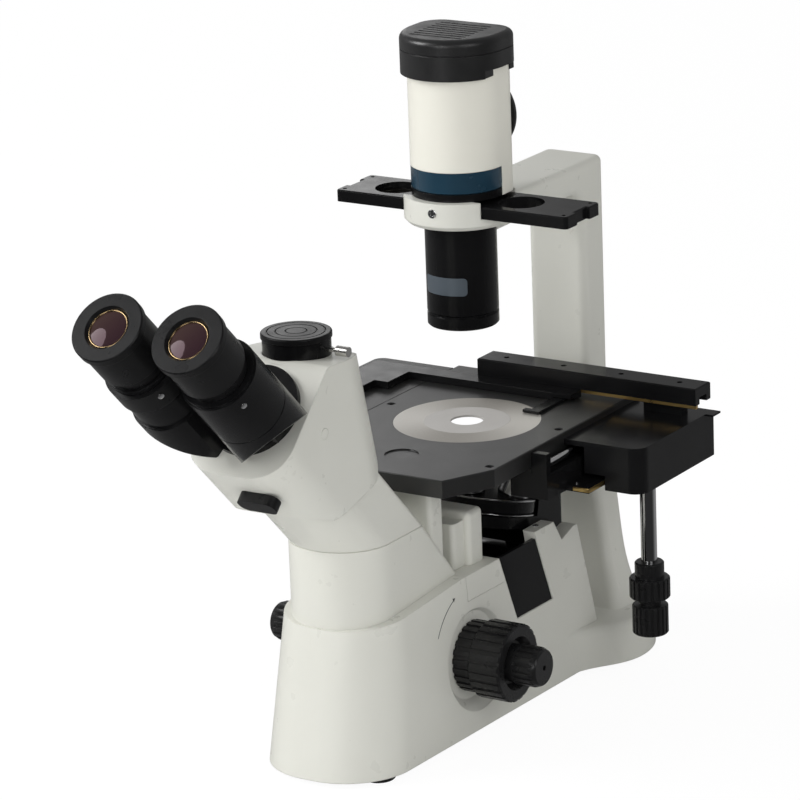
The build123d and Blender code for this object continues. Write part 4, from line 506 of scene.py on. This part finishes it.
for side, body, cad_lens in ((1, "right_eyepiece", "eye_lens_right"),
                             (-1, "left_eyepiece", "eye_lens_left")):
    lens_low, lens_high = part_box(cad_lens)
    middle = (Vector(lens_low) + Vector(lens_high)) / 2
    seat = middle + eye_axis * seat_above_middle
    seat.x = side * eye_half_distance
    bpy.ops.mesh.primitive_uv_sphere_add(segments=96, ring_count=128, radius=ball_radius, rotation=turned,
                                         location=seat - eye_axis * (ball_radius - lens_rise))
    bpy.ops.object.mode_set(mode="EDIT")
    bpy.ops.mesh.select_all(action="SELECT")
    bpy.ops.mesh.bisect(plane_co=seat, plane_no=eye_axis, clear_inner=True, use_fill=True)
    bpy.ops.object.mode_set(mode="OBJECT")
    lens = settle("eye_glass_right" if side > 0 else "eye_glass_left", body, eye_glass_painted_rim)
    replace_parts(lens, cad_lens)
    bpy.ops.mesh.primitive_torus_add(major_segments=96, minor_segments=14, major_radius=ring_radius,
                                     minor_radius=ring_wire, location=seat + eye_axis * ring_lift,
                                     rotation=turned)
    settle("lens_ring_right" if side > 0 else "lens_ring_left", body, gold_ring, angle=180.0)

# Focus drive: moulded black knobs with broad flutes on both sides, the tension ring behind the right
# one, and ground steel bushes in the body.
knob_plastic = finish_of("knob_plastic", (0.010, 0.010, 0.0105), (0.015, 0.015, 0.0155), (0.24, 0.34),
                         grain=2600.0, depth=0.00002, edge=0.0006, shine=0.35)
dress(knob_plastic, "coarse_knob_right", "coarse_knob_left", "tension_ring", "fine_knob_right",
      "fine_knob_left")
dress(ground_steel, "focus_bushes")

# Left fine knob: the same moulding as the right one on a longer shaft, so it reaches further out of
# its coarse knob.
left_reach = 0.0070
coarse_face = -0.0925
weld = 0.000001
long_knob = nodes["fine_knob_left"].copy()
long_knob.data = nodes["fine_knob_left"].data.copy()
scene.collection.objects.link(long_knob)
long_knob.select_set(True)
bpy.context.view_layer.objects.active = long_knob
bpy.ops.object.mode_set(mode="EDIT")
bpy.ops.mesh.select_all(action="SELECT")
bpy.ops.mesh.remove_doubles(threshold=weld)
bpy.ops.mesh.select_mode(type="VERT")
shape = bmesh.from_edit_mesh(long_knob.data)
for corner in shape.verts:
    corner.select_set(corner.co.x < coarse_face)
shape.select_flush_mode()
bmesh.update_edit_mesh(long_knob.data)
bpy.ops.transform.translate(value=(-left_reach, 0, 0))
bpy.ops.mesh.select_mode(type="FACE")
bpy.ops.object.mode_set(mode="OBJECT")
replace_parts(settle("long_fine_knob", "fine_drive", knob_plastic), "fine_knob_left")

# Nosepiece: cast carriage on a ground rail, with a turned and blackened turret screwed under its
# bracket.
dress(satin_lacquer, "nosepiece_carriage", "nosepiece_turret")
dress(ground_steel, "focus_rail")

# Black block in the well: black lacquer, set on the floor of the well in front of the rail. It closes
# the gap to the floor behind, and its black is painted shade for the dark well.


def milled_bar(name, place, size, chamfer, body, finish):
    """A straight bar with broken edges."""
    bpy.ops.mesh.primitive_cube_add(size=1.0, location=place)
    bpy.ops.transform.resize(value=size)
    bpy.ops.object.transform_apply(location=False, scale=True)
    bpy.ops.object.mode_set(mode="EDIT")
    bpy.ops.mesh.select_all(action="SELECT")
    bpy.ops.mesh.bevel(offset=chamfer, segments=2, affect="EDGES")
    bpy.ops.object.mode_set(mode="OBJECT")
    settle(name, body, finish)


shade_block_place = (0, 0.05875, 0.0882)
shade_block_size = (0.0740, 0.0170, 0.0084)
shade_block_chamfer = 0.0006
milled_bar("well_shade_block", shade_block_place, shade_block_size, shade_block_chamfer, "stand", satin_lacquer)

# Rims of the turret: two rings of bright metal, rolled round the lower and upper edge of its drum.
# The turret's axis leans back by 15 degrees, and all objectives point away from one apex on it.
lean = math.radians(15.0)
turret_axis = Vector((0, math.sin(lean), math.cos(lean)))
apex = Vector((0, 0, 0.06127112))
rim_radius = 0.0378
rim_wire = 0.0007
for name, height in (("turret_rim_low", 0.0739), ("turret_rim_high", 0.0848)):
    bpy.ops.mesh.primitive_torus_add(major_segments=96, minor_segments=12, major_radius=rim_radius,
                                     minor_radius=rim_wire, location=apex + turret_axis * height,
                                     rotation=turret_axis.to_track_quat("Z", "Y").to_euler())
    settle(name, "turret", bright_chrome, angle=180.0)

# Objectives: turned brass under satin chrome, screwed into the turret. Each has a knurled collar and
# an enamelled band in the colour of its power.
satin_chrome = finish_of("satin_chrome", (0.66, 0.66, 0.67), (0.72, 0.72, 0.73), (0.16, 0.24),
                         metallic=1.0, grain=2600.0, depth=0.000008, edge=0.0004)
dress(satin_chrome, "objective_low", "objective_mid", "objective_high")
band_radius = 0.01092
band_width = 0.0016
band_edge = 0.0002
darker_share = 0.9
for name, colour, along, distance in (
        ("band_low", (0.55, 0.06, 0.03), (-0.2588190451, 0.25, 0.9330127019), 0.1117),
        ("band_mid", (0.70, 0.50, 0.04), (0.2588190451, 0.25, 0.9330127019), 0.1142),
        ("band_high", (0.05, 0.22, 0.50), (0.0, 0.0, 1.0), 0.1177)):
    darker = tuple(darker_share * part for part in colour)
    enamel = finish_of(name + "_enamel", colour, darker, (0.2, 0.3), edge=0.0002)
    direction = Vector(along).normalized()
    bpy.ops.mesh.primitive_cylinder_add(vertices=72, radius=band_radius, depth=band_width,
                                        location=apex + direction * distance,
                                        rotation=direction.to_track_quat("Z", "Y").to_euler())
    bpy.ops.object.mode_set(mode="EDIT")
    bpy.ops.mesh.select_all(action="SELECT")
    bpy.ops.mesh.bevel(offset=band_edge, segments=2, affect="EDGES")
    bpy.ops.object.mode_set(mode="OBJECT")
    settle(name, "turret", enamel)

# Stage: milled aluminium plates, anodised and lacquered satin black, with small countersunk screws.
# The insert is a turned steel ring with a white enamelled disc.
stage_black = finish_of("stage_black", (0.013, 0.013, 0.0128), (0.018, 0.018, 0.0177), (0.36, 0.39),
                        grain=3200.0, depth=0.00003, edge=0.0006, shine=0.9)
dress(stage_black, "stage_plate", "stage_extension")
dress(satin_lacquer, "stage_screws")
white_enamel = finish_of("white_enamel", (0.54, 0.52, 0.495), (0.575, 0.555, 0.53), (0.35, 0.45),
                         edge=0.0003)
dress(white_enamel, "insert_disc")

# Face of the insert ring: turned on a lathe from plain steel and left bare, with fine circular tool
# marks. Its colour is painted lighter in two opposite fans, a painted highlight where the tool marks
# catch the light.
ridge_rate = 9000.0
mark_depth = 0.00002
fan_count = 2.0
fan_turn = 1.0
turned_steel = bpy.data.materials.new("turned_steel")
turned_steel.use_nodes = True
tree = turned_steel.node_tree
skin = tree.nodes["Principled BSDF"]
place = tree.nodes.new("ShaderNodeTexCoord")
parts = tree.nodes.new("ShaderNodeSeparateXYZ")
tree.links.new(place.outputs["Object"], parts.inputs[0])
flat = tree.nodes.new("ShaderNodeCombineXYZ")
tree.links.new(parts.outputs["X"], flat.inputs["X"])
tree.links.new(parts.outputs["Y"], flat.inputs["Y"])
away = tree.nodes.new("ShaderNodeVectorMath")
away.operation = "LENGTH"
tree.links.new(flat.outputs[0], away.inputs[0])
ridge = tree.nodes.new("ShaderNodeMath")
ridge.operation = "MULTIPLY"
ridge.inputs[1].default_value = ridge_rate
tree.links.new(away.outputs["Value"], ridge.inputs[0])
wave = tree.nodes.new("ShaderNodeMath")
wave.operation = "SINE"
tree.links.new(ridge.outputs[0], wave.inputs[0])
turn_marks = tree.nodes.new("ShaderNodeBump")
turn_marks.inputs["Strength"].default_value = 0.6
turn_marks.inputs["Distance"].default_value = mark_depth
tree.links.new(wave.outputs[0], turn_marks.inputs["Height"])
tree.links.new(turn_marks.outputs["Normal"], skin.inputs["Normal"])
# Painted highlight: the base colour is lighter in two opposite fans round the centre.
angle = tree.nodes.new("ShaderNodeMath")
angle.operation = "ARCTAN2"
tree.links.new(parts.outputs["Y"], angle.inputs[0])
tree.links.new(parts.outputs["X"], angle.inputs[1])
highlight_fans = tree.nodes.new("ShaderNodeMath")
highlight_fans.operation = "MULTIPLY_ADD"
highlight_fans.inputs[1].default_value = fan_count
highlight_fans.inputs[2].default_value = fan_turn
tree.links.new(angle.outputs[0], highlight_fans.inputs[0])
sheen = tree.nodes.new("ShaderNodeMath")
sheen.operation = "SINE"
tree.links.new(highlight_fans.outputs[0], sheen.inputs[0])
level = tree.nodes.new("ShaderNodeMapRange")
level.inputs["From Min"].default_value = -1.0
level.inputs["From Max"].default_value = 1.0
tree.links.new(sheen.outputs[0], level.inputs["Value"])
fan_highlight_colour = tinted(tree, level.outputs["Result"], (0.46, 0.435, 0.395), (0.76, 0.735, 0.69))
tree.links.new(fan_highlight_colour, skin.inputs["Base Color"])
tree.links.new(spread(tree, noise(tree, 500.0), 0.40, 0.50), skin.inputs["Roughness"])
skin.inputs["Metallic"].default_value = 0.7
dress(turned_steel, "insert_ring")

# Guide of the mechanical stage: black milled block under the stage's right edge. A ground rod guides
# the moving housing, and a brass rack runs round the edge of the block's plate.
dress(satin_lacquer, "stage_guide")
rod_radius = 0.00308
rod_length = 0.1415
rod_chamfer = 0.0002
rod_place = (0.087, 0.03475, 0.195)
bpy.ops.mesh.primitive_cylinder_add(vertices=48, radius=rod_radius, depth=rod_length, location=rod_place,
                                    rotation=(math.radians(90), 0, 0))
bpy.ops.object.mode_set(mode="EDIT")
bpy.ops.mesh.select_all(action="SELECT")
bpy.ops.mesh.bevel(offset=rod_chamfer, segments=1, affect="EDGES")
bpy.ops.object.mode_set(mode="OBJECT")
settle("guide_rod", "stand", bright_chrome)
satin_brass = finish_of("satin_brass", (0.62, 0.42, 0.15), (0.70, 0.49, 0.20), (0.25, 0.38), metallic=1.0,
                        grain=2500.0, depth=0.00001, edge=0.0003)
rack_chamfer = 0.0002
for name, place, size in (("y_rack", (0.1126, 0.0485, 0.1735), (0.0012, 0.1270, 0.0030)),
                          ("y_rack_end", (0.1062, -0.0156, 0.1735), (0.0140, 0.0012, 0.0030))):
    milled_bar(name, place, size, rack_chamfer, "stand", satin_brass)
socket_screw("guide_screw", (0.0985, -0.0085, 0.1750), upwards, 0.0016, 0.0003, "stand")

# Moving part of the mechanical stage: housing with its cover, cross bar with a brass rack, and the
# holder for well plates with its spring finger, all in black lacquer.
dress(satin_lacquer, "y_housing", "housing_cover", "x_bar", "plate_holder", "holder_finger")
dress(satin_brass, "x_rack")

# Drive of the mechanical stage: a chromed tube with a ribbed knob for each direction, one inside the
# other.
dress(bright_chrome, "coax_tube")
dress(knob_plastic, "y_knob", "x_knob")

# Lamp pillar with arm and ring holder: one casting in the stand's paint. A socket screw in the ring
# clamps the condenser tube.
dress(stove_paint, "lamp_pillar")
socket_screw("ring_screw", (0.0017, -0.0409, 0.3761), (0.04, -1.0, 0.0), 0.0034, 0.0006, "stand")

# Condenser: black lacquered tube with a lens at its lower end. A plain plate is glued on in front:
# a thin grey anodised sheet with round corners, bent to the tube.
dress(satin_lacquer, "condenser_tube")
lens_glass = finish_of("lens_glass", (0.03, 0.02, 0.03), (0.05, 0.03, 0.03), (0.03, 0.06), edge=0.0002,
                       coat=1.0)
dress(lens_glass, "condenser_lens")
plate_grey = finish_of("plate_grey", (0.10, 0.125, 0.15), (0.12, 0.145, 0.17), (0.3, 0.4), metallic=0.3,
                       depth=0.000008)
tube_radius = 0.0265
plate_size = (0.0380, 0.0135, 1.0)
plate_corner = 0.003
plate_height = 0.3175
plate_turn = 0.02
plate_thickness = 0.0003
glue_overlap = 0.0001
strip_width = 0.0019
bpy.ops.mesh.primitive_plane_add(size=1.0, location=(0, 0, 0))
bpy.ops.transform.resize(value=plate_size)
bpy.ops.object.transform_apply(scale=True)
bpy.ops.object.mode_set(mode="EDIT")
bpy.ops.mesh.select_all(action="SELECT")
bpy.ops.mesh.bevel(offset=plate_corner, segments=5, affect="VERTICES")
for step in range(-9, 10):
    bpy.ops.mesh.select_all(action="SELECT")
    bpy.ops.mesh.bisect(plane_co=(step * strip_width, 0, 0), plane_no=(1, 0, 0))
bpy.ops.mesh.select_all(action="SELECT")
bpy.ops.mesh.extrude_region_move(TRANSFORM_OT_translate={"value": (0, 0, plate_thickness)})
bpy.ops.object.mode_set(mode="OBJECT")
for corner in bpy.context.object.data.vertices:
    around = corner.co.x / tube_radius - plate_turn
    out = tube_radius - glue_overlap + corner.co.z
    corner.co = Vector((out * math.sin(around), -out * math.cos(around), plate_height + corner.co.y))
bpy.ops.object.mode_set(mode="EDIT")
bpy.ops.mesh.select_all(action="SELECT")
bpy.ops.mesh.normals_make_consistent(inside=False)
bpy.ops.object.mode_set(mode="OBJECT")
settle("condenser_plate", "stand", plate_grey)

# Phase slider: a black milled bar with three places, which slides under the lamp in a black bridge.
# Its two outer places hold brass annulus cells, blackened.
dress(satin_lacquer, "phase_slider", "slider_bridge")
cell_black = finish_of("cell_black", (0.012, 0.011, 0.010), (0.020, 0.018, 0.015), (0.28, 0.4),
                       metallic=0.6, edge=0.0003)
dress(cell_black, "phase_annuli")

# Diaphragm ring: turned aluminium, anodised dark teal, with a glossy face. It lies on the bridge and
# turns round the lamp house.
teal_anodised = finish_of("teal_anodised", (0.014, 0.050, 0.085), (0.018, 0.058, 0.095), (0.18, 0.28),
                          metallic=0.2, grain=2000.0, depth=0.00001, edge=0.0005, coat=0.5)
dress(teal_anodised, "diaphragm_ring")

# Lamp house: cast and painted in a yellower cream than the stand, with a halogen bulb inside, a black
# moulded cap with vents and a black vent disc at its back.
cream_paint = finish_of("cream_paint", (0.87, 0.855, 0.765), (0.89, 0.875, 0.785), (0.28, 0.36),
                        grain=520.0, depth=0.00002, edge=0.001)
dress(cream_paint, "lamp_housing")
cap_plastic = finish_of("cap_plastic", (0.012, 0.012, 0.0125), (0.018, 0.018, 0.0185), (0.32, 0.42),
                        grain=2200.0, depth=0.00004, edge=0.0008, shine=0.6)
dress(cap_plastic, "lamp_cap", "lamp_vent_disc")
bulb_glass = bpy.data.materials.new("bulb_glass")
bulb_glass.use_nodes = True
tree = bulb_glass.node_tree
skin = tree.nodes["Principled BSDF"]
tree.links.new(tinted(tree, noise(tree, 90.0), (0.82, 0.85, 0.86), (0.90, 0.92, 0.92)),
               skin.inputs["Base Color"])
tree.links.new(spread(tree, noise(tree, 200.0), 0.02, 0.05), skin.inputs["Roughness"])
skin.inputs["Transmission Weight"].default_value = 0.7
skin.inputs["IOR"].default_value = 1.5
dress(bulb_glass, "lamp_bulb")
